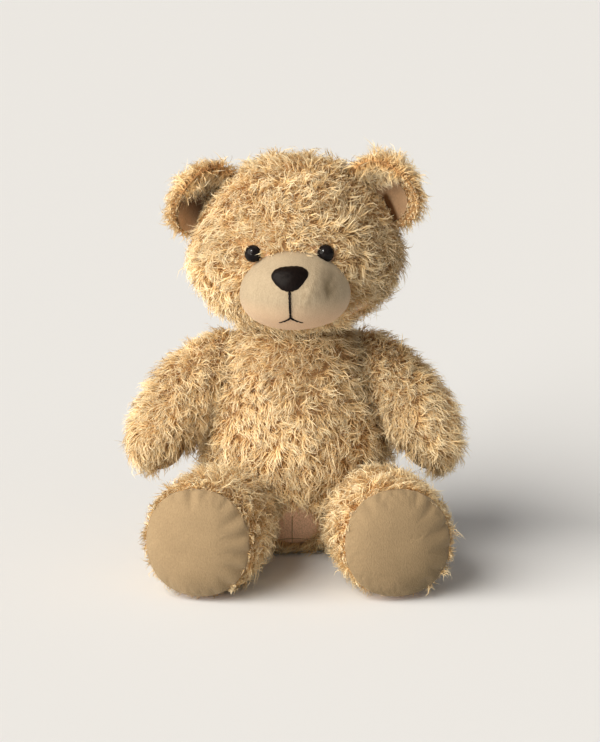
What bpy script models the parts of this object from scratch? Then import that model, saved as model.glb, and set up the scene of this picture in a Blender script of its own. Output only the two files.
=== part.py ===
"""Threadbare teddy bear, sitting with its legs out in front.

Metres, +Z up, the bear looks along -Y and sits on Z = 0. Left and right are the bear's own.
Every plush skin is a shell round its own filling. Long pile is modelled as rows of leaning locks.
"""

import math
import random

import bmesh
import bpy
import numpy as np
from mathutils import Euler, Matrix, Vector

# Cloth and pile
CLOTH = 0.0012
VELOUR = 0.0016
PILE = 0.0088
PILE_BED = 0.0030
WORN_PILE = 0.0005
FIT_GAP = 0.0003
FACET_ALLOWANCE = 0.0035
CLOTH_OVER_FLOOR = 0.0020
LOCK_JITTER = 0.30
LOCK_LEAN = 0.66
LOCK_SWAY = 0.28
POLE_FADE = 2.2
WORN_INSIDE = 0.9
WORN_FADE = 0.3
SHARP_ANGLE = math.radians(35)
MERGE_DISTANCE = 2e-6

# Head
HEAD_HALF_WIDTH = 0.0655
HEAD_HALF_DEPTH = 0.0520
HEAD_HALF_HEIGHT = 0.0535
HEAD_CHEEKS = 0.08
HEAD_FULLNESS = 0.92
HEAD_PLACE = (0.0004, -0.0120, 0.2067)
HEAD_YAW = -4.0
HEAD_ROLL = -1.0

# Muzzle, in the head's own space
MUZZLE_HALF_WIDTH = 0.0350
MUZZLE_HALF_HEIGHT = 0.0258
MUZZLE_HALF_DEPTH = 0.0330
MUZZLE_JOWLS = 0.14
MUZZLE_FULLNESS = 0.85
MUZZLE_SEAM_INSIDE = 0.85
MUZZLE_SEAM_FADE = 0.2
MUZZLE_PLACE = (0.0027, -0.0440, -0.0200)

# Nose and mouth, over the middle of the muzzle
NOSE_HALF_WIDTH = 0.0114
NOSE_HALF_HEIGHT = 0.0088
NOSE_THICKNESS = 0.0030
NOSE_ASIDE = -0.0010
NOSE_UP = 0.0126
NOSE_POINT = 0.12
THREAD_RADIUS = 0.0006
MOUTH_DROP = 0.0150
MOUTH_HALF_WIDTH = 0.0075
MOUTH_CURL = 0.0042

# Safety eyes
EYE_RADIUS = 0.0052
EYE_HEIGHT = 0.0046
EYE_SPACING = 0.0452
EYE_UP = 0.0030
EYE_PROUD = 0.0010
SHANK_RADIUS = 0.0016
SHANK_LENGTH = 0.0090
WASHER_RADIUS = 0.0060
WASHER_THICKNESS = 0.0012
WASHER_DEPTH = 0.0024

# Ears, in the head's own space
EAR_HALF_WIDTH = 0.0250
EAR_HALF_HEIGHT = 0.0240
EAR_CUP = 0.0130
EAR_HOOD = 0.0080
EAR_FRONT_THICKNESS = 0.0006
EAR_BACK_THICKNESS = 0.0065
EAR_LINING_THICKNESS = 0.0016
EAR_LINING_RINGS = 2
EAR_PILE_SHARE = 0.75
EAR_BARE_TO = math.radians(62)
EAR_FADE = math.radians(25)
EAR_OUT = 0.0715
EAR_ANGLE = {"left": 31.0, "right": 27.0}
EAR_BEHIND = 0.006
EAR_NOD = 18.0
EAR_TURN = {"left": 14.0, "right": 30.0}

# Body
BODY_HALF_WIDTH = 0.0585
BODY_HALF_DEPTH = 0.0470
BODY_HALF_HEIGHT = 0.0815
BODY_PEAR = 0.16
BODY_FULLNESS = 0.80
BODY_MIDDLE = 0.0795
NECK_RADIUS = 0.0140
WORN_SEAT_RADIUS = 0.0160
WORN_SEAT_UP = 0.0160

# Arms
ARM_RADIUS = 0.0205
ARM_HALF_LENGTH = 0.0520
ARM_TAPER = 0.10
ARM_FULLNESS = 0.72
ARM_BOW = 0.0060
SHOULDER_OUT = 0.0440
SHOULDER_BACK = 0.0080
SHOULDER_UP = 0.1280
PAW_OUT = 0.0865
PAW_FORWARD = 0.0210
PAW_UP = 0.0775
PAW_PAD_RADIUS = 0.0130
PAW_PAD_STAND = 0.0010
PAW_PAD_POLAR = 42.0
PAW_PAD_FORWARD = 25.0

# Legs and soles
LEG_RADIUS = 0.0325
LEG_HALF_LENGTH = 0.0780
LEG_TAPER = 0.16
LEG_FULLNESS = 0.50
LEG_AXIS_UP = 0.0375
LEG_LENGTH = 0.0960
HIP_LOWER = 0.0080
FOOT_TURN = {"left": 8.0, "right": 12.0}
SOLE_OUT = {"left": 0.0645, "right": 0.0600}
SOLE_FORWARD = 0.1210
SOLE_RADIUS = 0.0345
SOLE_NARROWER = 0.0010
SOLE_DOME = 0.0090
SOLE_THICKNESS = 0.0016
GATHER_DEPTH = 0.0012
GATHERS = 9
GATHER_SIDE = 20.0

# How finely each form is divided
HEAD_ROWS, HEAD_COLUMNS = 18, 32
BODY_ROWS, BODY_COLUMNS = 18, 28
ARM_ROWS, ARM_COLUMNS = 14, 14
LEG_ROWS, LEG_COLUMNS = 15, 16
EAR_ROWS, EAR_COLUMNS = 7, 16
MUZZLE_ROWS, MUZZLE_COLUMNS = 10, 20
NOSE_ROWS, NOSE_COLUMNS = 6, 20
SOLE_ROWS, SOLE_COLUMNS = 4, 36
PAD_ROWS, PAD_COLUMNS = 5, 12
FILLING_ROWS, FILLING_COLUMNS = 8, 12
LIMB_FILLING_ROWS, LIMB_FILLING_COLUMNS = 7, 10
EYE_SEGMENTS = 12
DOME_STEPS = 5
WASHER_SEGMENTS = 10


class Egg:
    """A closed rounded form about its own Z axis; the polar angle starts at +Z."""

    def __init__(self, half_width, half_depth, half_height, taper, fullness, place, bow=0.0, on_floor=False):
        self.half_width = half_width
        self.half_depth = half_depth
        self.half_height = half_height
        self.taper = taper
        self.fullness = fullness
        self.place = place
        self.bow = bow
        self.on_floor = on_floor

    def ring(self, polar):
        wide = np.abs(np.sin(polar)) ** self.fullness
        return wide * (1 - self.taper * np.cos(polar))

    def local(self, polar, around):
        ring = self.ring(polar)
        return np.stack([
            self.half_width * ring * np.cos(around),
            self.half_depth * ring * np.sin(around) - self.bow * np.sin(polar) ** 2,
            self.half_height * np.cos(polar) + 0 * around,
        ], axis=-1)

    def point(self, polar, around):
        placed = moved(self.place, self.local(polar, around))
        if self.on_floor:
            placed[..., 2] = np.maximum(placed[..., 2], CLOTH_OVER_FLOOR)
        return placed

    def front_angles(self, across, up):
        """The polar and around angles of the point on the -Y side at this local X and Z."""
        polar = math.acos(up / self.half_height)
        around = -math.acos(across / (self.half_width * self.ring(polar)))
        return np.array([polar]), np.array([around])


class Lens:
    """A dished disc; the polar angle starts at its front, -Y, and passes the rim at 90 degrees.

    A cup brings the whole rim forward and a hood only its upper half."""

    def __init__(self, half_width, half_height, front, back, place, cup=0.0, hood=0.0, point_down=0.0,
                 gathers=0):
        self.half_width = half_width
        self.half_height = half_height
        self.front = front
        self.back = back
        self.place = place
        self.cup = cup
        self.hood = hood
        self.point_down = point_down
        self.gathers = gathers

    def local(self, polar, around):
        out = np.sin(polar)
        upper = np.maximum(0, out * np.sin(around))
        outline = 1 + self.point_down * np.cos(3 * (around + math.pi / 2))
        depth = np.where(np.cos(polar) > 0, self.front, self.back)
        near = 0.5 + 0.5 * np.cos(around - math.radians(GATHER_SIDE))
        gather = GATHER_DEPTH * near * np.cos(self.gathers * around) * out ** 6 if self.gathers else 0
        return np.stack([
            self.half_width * out * outline * np.cos(around),
            -depth * np.cos(polar) - self.cup * out ** 2 - self.hood * upper ** 2 + gather,
            self.half_height * out * outline * np.sin(around),
        ], axis=-1)

    def point(self, polar, around):
        return moved(self.place, self.local(polar, around))


def moved(matrix, points):
    turn = np.array(matrix.to_3x3())
    return points @ turn.T + np.array(matrix.translation)


def normals_of(form, polar, around):
    step = 1e-3
    along = form.point(polar + step, around) - form.point(polar - step, around)
    across = form.point(polar, around + step) - form.point(polar, around - step)
    normal = np.cross(along, across)
    length = np.linalg.norm(normal, axis=-1, keepdims=True)
    return normal / np.maximum(length, 1e-12)


def lattice_faces(rows, columns):
    """Triangles of a pole-to-pole lattice; each tip ends up as the top of its own pyramid."""
    def index(row, column):
        return 1 + (row - 1) * columns + column % columns

    faces = []
    last = 1 + (rows - 1) * columns
    for column in range(columns):
        faces.append((0, index(1, column), index(1, column + 1)))
        faces.append((last, index(rows - 1, column + 1), index(rows - 1, column)))
    for row in range(1, rows - 1):
        for column in range(columns):
            a, b = index(row, column), index(row, column + 1)
            d, c = index(row + 1, column), index(row + 1, column + 1)
            if (row + column) % 2 == 0:
                faces += [(a, d, b), (b, d, c)]
            else:
                faces += [(a, d, c), (a, c, b)]
    return faces


def lattice(form, rows, columns, lift):
    """Points from pole to pole. lift(polar, around, tips) says how far each stands off, and leans."""
    polar = np.linspace(0, math.pi, rows + 1)[1:-1]
    around = np.arange(columns) * 2 * math.pi / columns
    polar, around = np.meshgrid(polar, around, indexing="ij")
    tips = np.add.outer(np.arange(1, rows), np.arange(columns)) % 2 == 0
    stand, lean_down, lean_across = lift(polar, around, tips)
    normal = normals_of(form, polar, around)
    down = form.point(polar + math.pi / rows, around) - form.point(polar, around)
    across = form.point(polar, around + 2 * math.pi / columns) - form.point(polar, around)
    points = form.point(polar, around) + normal * stand[..., None]
    points = points + down * lean_down[..., None] + across * lean_across[..., None]
    poles = []
    for ring, end in ((0, 0.0), (-1, math.pi)):
        centre = form.point(np.array([end]), np.array([0.0]))[0]
        axis = normal[ring].mean(axis=0)
        poles.append(centre + axis / np.linalg.norm(axis) * stand[ring].min())
    return np.vstack([poles[0], points.reshape(-1, 3), poles[1]])


def worn_round(points, centre, radius):
    """How furry each point is: bare within the radius of the centre, and full a little beyond."""
    far = np.linalg.norm(points - centre, axis=-1)
    return np.clip((far / radius - WORN_INSIDE) / WORN_FADE, 0, 1)


def smooth(stand):
    """A lift that only stands the surface off evenly."""
    def lift(polar, around, tips):
        flat = np.zeros_like(polar)
        return flat + stand, flat, flat
    return lift


def locks(seed, cover=None, extra=0.0, lay=1, pile=PILE):
    """A lift that raises every second point into a lock of pile; a lay of -1 leans it to the +Z pole."""
    def lift(polar, around, tips):
        chance = random.Random(seed)
        height = np.array([chance.uniform(1 - LOCK_JITTER, 1) for _ in range(polar.size)])
        down = np.array([chance.uniform(0.5, 1) for _ in range(polar.size)])
        side = np.array([chance.uniform(-LOCK_SWAY, LOCK_SWAY) for _ in range(polar.size)])
        furry = cover(polar, around) if cover else np.ones_like(polar)
        bed = WORN_PILE + furry * (PILE_BED - WORN_PILE)
        furry = furry * np.minimum(1, POLE_FADE * np.sin(polar))
        tall = WORN_PILE + furry * (pile * height.reshape(polar.shape) - WORN_PILE)
        stand = np.where(tips, np.maximum(tall, bed), bed) + extra
        lean_down = np.where(tips, lay * LOCK_LEAN * furry * down.reshape(polar.shape), 0)
        lean_across = np.where(tips, furry * side.reshape(polar.shape), 0)
        return stand, lean_down, lean_across
    return lift


def material(name, colour, roughness, metallic=0.0):
    made = bpy.data.materials.new(name)
    made.use_nodes = True
    shader = made.node_tree.nodes["Principled BSDF"]
    shader.inputs["Base Color"].default_value = (*colour, 1)
    shader.inputs["Roughness"].default_value = roughness
    shader.inputs["Metallic"].default_value = metallic
    made.diffuse_color = (*colour, 1)
    return made


def new_object(name, points, faces, finish=None, parent=None):
    mesh = bpy.data.meshes.new(name)
    mesh.from_pydata([tuple(p) for p in points], [], faces)
    made = bpy.data.objects.new(name, mesh)
    bpy.context.scene.collection.objects.link(made)
    made.parent = parent
    if finish:
        mesh.materials.append(finish)
    else:
        made.hide_render = True
        made.display_type = "WIRE"
    return made


def from_form(name, form, rows, columns, lift, finish=None, parent=None):
    return new_object(name, lattice(form, rows, columns, lift), lattice_faces(rows, columns), finish, parent)


def patch(name, form, size, rings, low, high, finish, parent):
    """A cloth patch over the middle of a form, which follows the form's own facets from low to high."""
    rows, columns = size
    count = 1 + rings * columns
    rim = [count - columns + k for k in range(columns)]
    top = [face for face in lattice_faces(rows, columns) if max(face) < count]
    under = [tuple(count + i for i in reversed(face)) for face in top]
    edge = [(a, a + count, b + count, b) for a, b in zip(rim, rim[1:] + rim[:1])]
    sheets = [lattice(form, rows, columns, smooth(stand))[:count] for stand in (high, low)]
    return new_object(name, np.vstack(sheets), top + under + edge, finish, parent)


def change(target, other, operation):
    step = target.modifiers.new(operation.lower(), "BOOLEAN")
    step.operation = operation
    step.solver = "EXACT"
    step.object = other


def cut(target, *cutters):
    for cutter in cutters:
        change(target, cutter, "DIFFERENCE")


def keep_main_body(target):
    """Turns the cut shape into a plain mesh and drops crumbs of pile that a cut left loose."""
    bpy.context.view_layer.update()
    shape = target.evaluated_get(bpy.context.evaluated_depsgraph_get())
    work = bmesh.new()
    work.from_mesh(shape.to_mesh())
    shape.to_mesh_clear()
    bmesh.ops.remove_doubles(work, verts=work.verts, dist=MERGE_DISTANCE)
    left = set(work.verts)
    islands = []
    while left:
        island = set()
        front = [left.pop()]
        while front:
            vert = front.pop()
            island.add(vert)
            for edge in vert.link_edges:
                other = edge.other_vert(vert)
                if other in left:
                    left.remove(other)
                    front.append(other)
        islands.append(island)
    main = max(islands, key=len)
    loose = [vert for island in islands if island is not main for vert in island]
    bmesh.ops.delete(work, geom=loose, context="VERTS")
    bmesh.ops.triangulate(work, faces=work.faces)
    target.modifiers.clear()
    work.to_mesh(target.data)
    work.free()
    target.data.shade_smooth()
    target.data.set_sharp_from_angle(angle=SHARP_ANGLE)


def revolve(name, profile, place, segments, finish=None, parent=None):
    """Spins (radius, height) points about the place's Z axis into a closed solid."""
    work = bmesh.new()
    verts = [work.verts.new((radius, 0, height)) for radius, height in profile]
    edges = [work.edges.new(pair) for pair in zip(verts, verts[1:])]
    bmesh.ops.spin(
        work, geom=verts + edges, cent=(0, 0, 0), axis=(0, 0, 1),
        angle=2 * math.pi, steps=segments, use_merge=True,
    )
    bmesh.ops.remove_doubles(work, verts=work.verts, dist=MERGE_DISTANCE)
    bmesh.ops.recalc_face_normals(work, faces=work.faces)
    mesh = bpy.data.meshes.new(name)
    work.to_mesh(mesh)
    work.free()
    mesh.shade_smooth()
    mesh.set_sharp_from_angle(angle=SHARP_ANGLE)
    made = bpy.data.objects.new(name, mesh)
    bpy.context.scene.collection.objects.link(made)
    made.parent = parent
    made.matrix_local = place
    if finish:
        mesh.materials.append(finish)
    else:
        made.hide_render = True
        made.display_type = "WIRE"
    return made


def rod(name, radius, start, end, place, parent=None, segments=14):
    profile = [(0, start), (radius, start), (radius, end), (0, end)]
    return revolve(name, profile, place, segments, None, parent)


def block(name, low, high, place=None):
    corners = [(x, y, z) for x in (low[0], high[0]) for y in (low[1], high[1]) for z in (low[2], high[2])]
    faces = [(0, 1, 3, 2), (4, 6, 7, 5), (0, 4, 5, 1), (2, 3, 7, 6), (0, 2, 6, 4), (1, 5, 7, 3)]
    made = new_object(name, corners, faces)
    made.matrix_local = place or Matrix()
    return made


def facing(origin, outward):
    """A frame at the origin whose Z axis points outward."""
    turn = Vector(outward).to_track_quat("Z", "Y").to_matrix().to_4x4()
    return Matrix.Translation(origin) @ turn


def toward(start, end):
    """A frame at the start whose Z axis points to the end, with its Y axis kept level-side up."""
    axis = (Vector(end) - Vector(start)).normalized()
    side = axis.cross(Vector((0, 0, 1))).normalized()
    turn = Matrix((side, axis.cross(side), axis)).transposed().to_4x4()
    return Matrix.Translation(start) @ turn


def build_head(paint):
    pose = bpy.data.objects.new("head_pose", None)
    bpy.context.scene.collection.objects.link(pose)
    pose.location = HEAD_PLACE
    pose.rotation_euler = Euler((0, math.radians(HEAD_ROLL), math.radians(HEAD_YAW)))
    form = Egg(HEAD_HALF_WIDTH, HEAD_HALF_DEPTH, HEAD_HALF_HEIGHT, HEAD_CHEEKS, HEAD_FULLNESS, Matrix())

    def cover(polar, around):
        place = form.point(polar, around)
        across = (place[..., 0] - MUZZLE_PLACE[0]) / (MUZZLE_HALF_WIDTH + PILE_BED)
        up = (place[..., 2] - MUZZLE_PLACE[2]) / (MUZZLE_HALF_HEIGHT + PILE_BED)
        far = np.sqrt(across ** 2 + up ** 2)
        on_face = place[..., 1] < 0
        return np.where(on_face, np.clip((far - MUZZLE_SEAM_INSIDE) / MUZZLE_SEAM_FADE, 0, 1), 1)

    skin = from_form("head_skin", form, HEAD_ROWS, HEAD_COLUMNS, locks(11, cover), paint["plush"], pose)
    raised = from_form("head_clearance", form, HEAD_ROWS, HEAD_COLUMNS, locks(11, cover, FIT_GAP), None, pose)
    hollow = from_form("head_hollow", form, FILLING_ROWS, FILLING_COLUMNS, smooth(-CLOTH), None, pose)
    filling = from_form("head_filling", form, FILLING_ROWS, FILLING_COLUMNS,
                        smooth(-CLOTH - FIT_GAP), paint["stuffing"], pose)
    cut(skin, hollow)
    return pose, form, skin, raised, filling


def build_eyes(paint, pose, form, head_skin, head_filling):
    """Safety eyes: a dome and shank through the skin, held by a washer pressed on from inside."""
    holes = []
    for name, side in (("left", 1), ("right", -1)):
        spot_angles = form.front_angles(side * EYE_SPACING / 2, EYE_UP)
        place = facing(form.point(*spot_angles)[0], normals_of(form, *spot_angles)[0])
        seat = EYE_PROUD
        tip = seat - SHANK_LENGTH
        dome = [(EYE_RADIUS * math.cos(a), seat + EYE_HEIGHT * math.sin(a))
                for a in np.linspace(math.radians(90), 0, DOME_STEPS)]
        profile = dome + [(SHANK_RADIUS, seat), (SHANK_RADIUS, tip), (0, tip)]
        revolve("eye_" + name, profile, place, EYE_SEGMENTS, paint["eye"], pose)
        top = -WASHER_DEPTH - FIT_GAP
        bottom = top - WASHER_THICKNESS
        bore = SHANK_RADIUS + FIT_GAP
        ring = [(bore, top), (WASHER_RADIUS, top), (WASHER_RADIUS, bottom), (bore, bottom), (bore, top)]
        revolve("eye_washer_" + name, ring, place, WASHER_SEGMENTS, paint["washer"], pose)
        rim = EYE_RADIUS + FIT_GAP
        room = WASHER_RADIUS + FIT_GAP
        above = seat + EYE_HEIGHT + PILE
        end = tip - FIT_GAP
        through = [(0, above), (rim, above), (rim, seat - FIT_GAP), (bore, seat - FIT_GAP),
                   (bore, -WASHER_DEPTH), (room, -WASHER_DEPTH), (room, end), (0, end)]
        holes.append(revolve("eye_hole_" + name, through, place, EYE_SEGMENTS, None, pose))
        sunk = [(0, 0), (room, 0), (room, bottom - FIT_GAP), (bore, bottom - FIT_GAP), (bore, end), (0, end)]
        cut(head_filling, revolve("washer_room_" + name, sunk, place, EYE_SEGMENTS, None, pose))
    cut(head_skin, *holes)
    return holes


def build_muzzle(paint, pose, head_raised, eye_holes):
    place = Matrix.Translation(MUZZLE_PLACE)
    form = Egg(MUZZLE_HALF_WIDTH, MUZZLE_HALF_DEPTH, MUZZLE_HALF_HEIGHT, MUZZLE_JOWLS,
               MUZZLE_FULLNESS, place)
    size = (MUZZLE_ROWS, MUZZLE_COLUMNS)
    inner_size = (FILLING_ROWS, FILLING_COLUMNS)
    cover = from_form("muzzle_cover", form, *size, smooth(0), paint["velour"], pose)
    hollow = from_form("muzzle_hollow", form, *inner_size, smooth(-VELOUR), None, pose)
    filling = from_form("muzzle_filling", form, *inner_size, smooth(-VELOUR - FIT_GAP),
                        paint["stuffing"], pose)
    raised = from_form("muzzle_clearance", form, *size, smooth(FIT_GAP), None, pose)
    cut(cover, hollow, head_raised, *eye_holes)
    cut(filling, head_raised, *eye_holes)
    keep_main_body(cover)
    keep_main_body(filling)
    build_nose(paint, pose, form, raised)
    build_mouth(paint, pose, form)


def muzzle_spot(form, across, up, stand):
    angles = form.front_angles(across, up)
    return Vector(form.point(*angles)[0] + normals_of(form, *angles)[0] * stand)


def build_nose(paint, pose, form, muzzle_raised):
    spot = muzzle_spot(form, NOSE_ASIDE, NOSE_UP, 0)
    ahead = muzzle_spot(form, NOSE_ASIDE, NOSE_UP, 1) - spot
    tilt = math.atan2(ahead.z, -ahead.y)
    place = Matrix.Translation(spot) @ Matrix.Rotation(-tilt, 4, "X")
    shape = Lens(NOSE_HALF_WIDTH, NOSE_HALF_HEIGHT, NOSE_THICKNESS, NOSE_THICKNESS, place,
                 cup=-0.5 * NOSE_THICKNESS, point_down=NOSE_POINT)
    nose = from_form("nose", shape, NOSE_ROWS, NOSE_COLUMNS, smooth(0), paint["nose"], pose)
    cut(nose, muzzle_raised)
    keep_main_body(nose)


def thread(name, route, finish, pose):
    """A round thread through the route's points, as a swept tube with flat ends."""
    sides = 6
    rings = []
    for i, point in enumerate(route):
        ahead = route[min(i + 1, len(route) - 1)] - route[max(i - 1, 0)]
        frame = ahead.to_track_quat("Z", "Y").to_matrix()
        rings.append([
            point + frame @ Vector((math.cos(2 * math.pi * k / sides), math.sin(2 * math.pi * k / sides), 0))
            * THREAD_RADIUS for k in range(sides)
        ])
    points = [p for ring in rings for p in ring]
    faces = [tuple(range(sides - 1, -1, -1))]
    for i in range(len(rings) - 1):
        for k in range(sides):
            n = (k + 1) % sides
            faces.append((i * sides + k, i * sides + n, (i + 1) * sides + n, (i + 1) * sides + k))
    faces.append(tuple(range((len(rings) - 1) * sides, len(rings) * sides)))
    return new_object(name, points, faces, finish, pose)


def build_mouth(paint, pose, form):
    """One stitched line down from the nose and one curved line across its foot."""
    stand = THREAD_RADIUS + FIT_GAP
    top = NOSE_UP - NOSE_HALF_HEIGHT * (1 + NOSE_POINT) - 2 * FIT_GAP
    foot = top - MOUTH_DROP
    down = [muzzle_spot(form, NOSE_ASIDE, top + (foot - top) * i / 6, stand) for i in range(7)]
    across = []
    for i in range(9):
        share = 2 * i / 8 - 1
        up = foot - MOUTH_CURL * abs(share) ** 1.6
        across.append(muzzle_spot(form, NOSE_ASIDE + MOUTH_HALF_WIDTH * share, up, stand))
    stitch = thread("mouth_stitch", down, paint["nose"], pose)
    lip = thread("mouth_curve", across, None, pose)
    change(stitch, lip, "UNION")
    keep_main_body(stitch)


def build_ears(paint, pose, head_raised):
    """Each ear is a cupped plush back with a smaller velour lining in front of it."""
    def cover(polar, around):
        return np.clip((polar - EAR_BARE_TO) / EAR_FADE, 0, 1)

    for name, side in (("left", 1), ("right", -1)):
        angle = math.radians(EAR_ANGLE[name])
        centre = (side * EAR_OUT * math.cos(angle), EAR_BEHIND, EAR_OUT * math.sin(angle))
        turned = Matrix.Rotation(-side * math.radians(EAR_TURN[name]), 4, "Z")
        nodded = Matrix.Rotation(math.radians(EAR_NOD), 4, "X")
        leaned = Matrix.Rotation(side * (math.pi / 2 - angle), 4, "Y")
        place = Matrix.Translation(centre) @ turned @ nodded @ leaned
        back = Lens(EAR_HALF_WIDTH, EAR_HALF_HEIGHT, EAR_FRONT_THICKNESS, EAR_BACK_THICKNESS, place,
                    cup=EAR_CUP, hood=EAR_HOOD)
        size = (EAR_ROWS, EAR_COLUMNS)
        pile = EAR_PILE_SHARE * PILE
        plush = from_form("ear_back_" + name, back, *size, locks(31 + side, cover, 0, -1, pile),
                          paint["plush"], pose)
        low = WORN_PILE + FIT_GAP
        lining = patch("ear_lining_" + name, back, size, EAR_LINING_RINGS, low, low + EAR_LINING_THICKNESS,
                       paint["lining"], pose)
        cut(plush, head_raised)
        cut(lining, head_raised)
        keep_main_body(plush)
        keep_main_body(lining)


def build_body(paint, head_form, pose, head_skin, head_raised, floor):
    place = Matrix.Translation((0, 0, BODY_MIDDLE))
    form = Egg(BODY_HALF_WIDTH, BODY_HALF_DEPTH, BODY_HALF_HEIGHT, BODY_PEAR, BODY_FULLNESS, place,
               on_floor=True)

    crotch = form.point(*form.front_angles(0, WORN_SEAT_UP - BODY_MIDDLE))

    def cover(polar, around):
        """Pile is worn away on the seam between the legs."""
        return worn_round(form.point(polar, around), crotch, WORN_SEAT_RADIUS)

    skin = from_form("body_skin", form, BODY_ROWS, BODY_COLUMNS, locks(21, cover), paint["plush"])
    raised = from_form("body_clearance", form, BODY_ROWS, BODY_COLUMNS, locks(21, cover, FIT_GAP))
    hollow = from_form("body_hollow", form, FILLING_ROWS, FILLING_COLUMNS, smooth(-CLOTH))
    filling = from_form("body_filling", form, FILLING_ROWS, FILLING_COLUMNS,
                        smooth(-CLOTH - FIT_GAP), paint["stuffing"])
    up = Matrix()
    neck = rod("neck_opening", NECK_RADIUS, BODY_MIDDLE, HEAD_PLACE[2], up)
    plug = rod("neck_filling", NECK_RADIUS - FIT_GAP, BODY_MIDDLE, HEAD_PLACE[2], up)
    head_around = from_form("head_allowance", head_form, FILLING_ROWS, FILLING_COLUMNS,
                            smooth(PILE + FACET_ALLOWANCE), None, pose)
    head_inside = from_form("head_filling_clearance", head_form, FILLING_ROWS, FILLING_COLUMNS,
                            smooth(-CLOTH), None, pose)
    cut(head_skin, neck)
    cut(skin, hollow, neck, head_raised, floor)
    cut(filling, head_around)
    change(filling, plug, "UNION")
    cut(filling, head_inside)
    body_around = from_form("body_allowance", form, FILLING_ROWS, FILLING_COLUMNS,
                            smooth(PILE + FACET_ALLOWANCE))
    return skin, raised, filling, body_around, head_around


def build_arms(paint, body_raised, head_raised, body_around, head_around):
    for name, side in (("left", 1), ("right", -1)):
        shoulder = Vector((side * SHOULDER_OUT, SHOULDER_BACK, SHOULDER_UP))
        paw = Vector((side * PAW_OUT, -PAW_FORWARD, PAW_UP))
        along = (paw - shoulder).normalized()
        middle = paw + along * (ARM_RADIUS - ARM_HALF_LENGTH)
        place = toward(middle, middle + along)
        form = Egg(ARM_RADIUS, ARM_RADIUS, ARM_HALF_LENGTH, -ARM_TAPER, ARM_FULLNESS, place, ARM_BOW)
        polar = np.array([math.radians(PAW_PAD_POLAR)])
        around = np.array([math.radians(90 - side * PAW_PAD_FORWARD)])
        palm = form.point(polar, around)[0]
        out = normals_of(form, polar, around)[0]

        def cover(polar, around):
            return worn_round(form.point(polar, around), palm, PAW_PAD_RADIUS)

        size = (ARM_ROWS, ARM_COLUMNS)
        inner_size = (LIMB_FILLING_ROWS, LIMB_FILLING_COLUMNS)
        skin = from_form("arm_skin_" + name, form, *size, locks(41 + side, cover, 0, -1), paint["plush"])
        raised = from_form("arm_clearance_" + name, form, *size, locks(41 + side, cover, FIT_GAP, -1))
        hollow = from_form("arm_hollow_" + name, form, *inner_size, smooth(-CLOTH))
        filling = from_form("arm_filling_" + name, form, *inner_size, smooth(-CLOTH - FIT_GAP),
                            paint["stuffing"])
        cut(skin, hollow, body_raised, head_raised)
        cut(filling, body_around, head_around)
        keep_main_body(skin)
        keep_main_body(filling)
        build_paw_pad(paint, name, palm, out, raised)


def build_paw_pad(paint, name, palm, out, arm_raised):
    """A smooth velour palm sewn on the underside of the paw."""
    flat_front = Matrix.Rotation(-math.pi / 2, 4, "X")
    place = facing(palm + out * PAW_PAD_STAND, out) @ flat_front
    wrap = -PAW_PAD_RADIUS ** 2 / (2 * ARM_RADIUS)
    shape = Lens(PAW_PAD_RADIUS, PAW_PAD_RADIUS, PAW_PAD_STAND, 3 * PAW_PAD_STAND, place, cup=wrap)
    pad = from_form("paw_pad_" + name, shape, PAD_ROWS, PAD_COLUMNS, smooth(0), paint["velour"])
    cut(pad, arm_raised)
    keep_main_body(pad)


def build_legs(paint, body_raised, body_around, floor):
    reach = 4 * LEG_RADIUS
    for name, side in (("left", 1), ("right", -1)):
        turn = math.radians(FOOT_TURN[name])
        level = Vector((side * math.sin(turn), -math.cos(turn), 0)) * LEG_LENGTH
        along = (level + Vector((0, 0, HIP_LOWER))).normalized()
        sole = Vector((side * SOLE_OUT[name], -SOLE_FORWARD, LEG_AXIS_UP))
        middle = sole - along * LEG_LENGTH / 2
        place = toward(middle, middle + along)
        form = Egg(LEG_RADIUS, LEG_RADIUS, LEG_HALF_LENGTH, -LEG_TAPER, LEG_FULLNESS, place, on_floor=True)
        skin = from_form("leg_skin_" + name, form, LEG_ROWS, LEG_COLUMNS, locks(51 + side, None, 0, -1),
                         paint["plush"])
        inner_size = (LIMB_FILLING_ROWS, LIMB_FILLING_COLUMNS)
        hollow = from_form("leg_hollow_" + name, form, *inner_size, smooth(-CLOTH))
        filling = from_form("leg_filling_" + name, form, *inner_size, smooth(-CLOTH - FIT_GAP),
                            paint["stuffing"])
        ahead = toward(sole, sole + along)
        front = block("sole_plane_" + name, (-reach, -reach, 0), (reach, reach, reach), ahead)
        back = -SOLE_THICKNESS - FIT_GAP
        behind = block("sole_back_plane_" + name, (-reach, -reach, back), (reach, reach, reach), ahead)
        tilt = math.atan2(HIP_LOWER, LEG_LENGTH)
        turned = Matrix.Rotation(side * turn, 4, "Z") @ Matrix.Rotation(-tilt, 4, "X")
        seat = build_sole(paint, name, Matrix.Translation(sole) @ turned)
        cut(skin, hollow, body_raised, floor, front, seat)
        cut(filling, body_around, behind)
        keep_main_body(skin)
        keep_main_body(filling)


def build_sole(paint, name, place):
    """A domed velour disc with its rim drawn into gathers, and the clearance it needs."""
    shape = Lens(SOLE_RADIUS - SOLE_NARROWER, SOLE_RADIUS, SOLE_DOME, SOLE_THICKNESS, place, gathers=GATHERS)
    pad = from_form("sole_" + name, shape, SOLE_ROWS, SOLE_COLUMNS, smooth(0), paint["velour"])
    seat = from_form("sole_seat_" + name, shape, SOLE_ROWS, SOLE_COLUMNS, smooth(FIT_GAP))
    keep_main_body(pad)
    return seat


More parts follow.
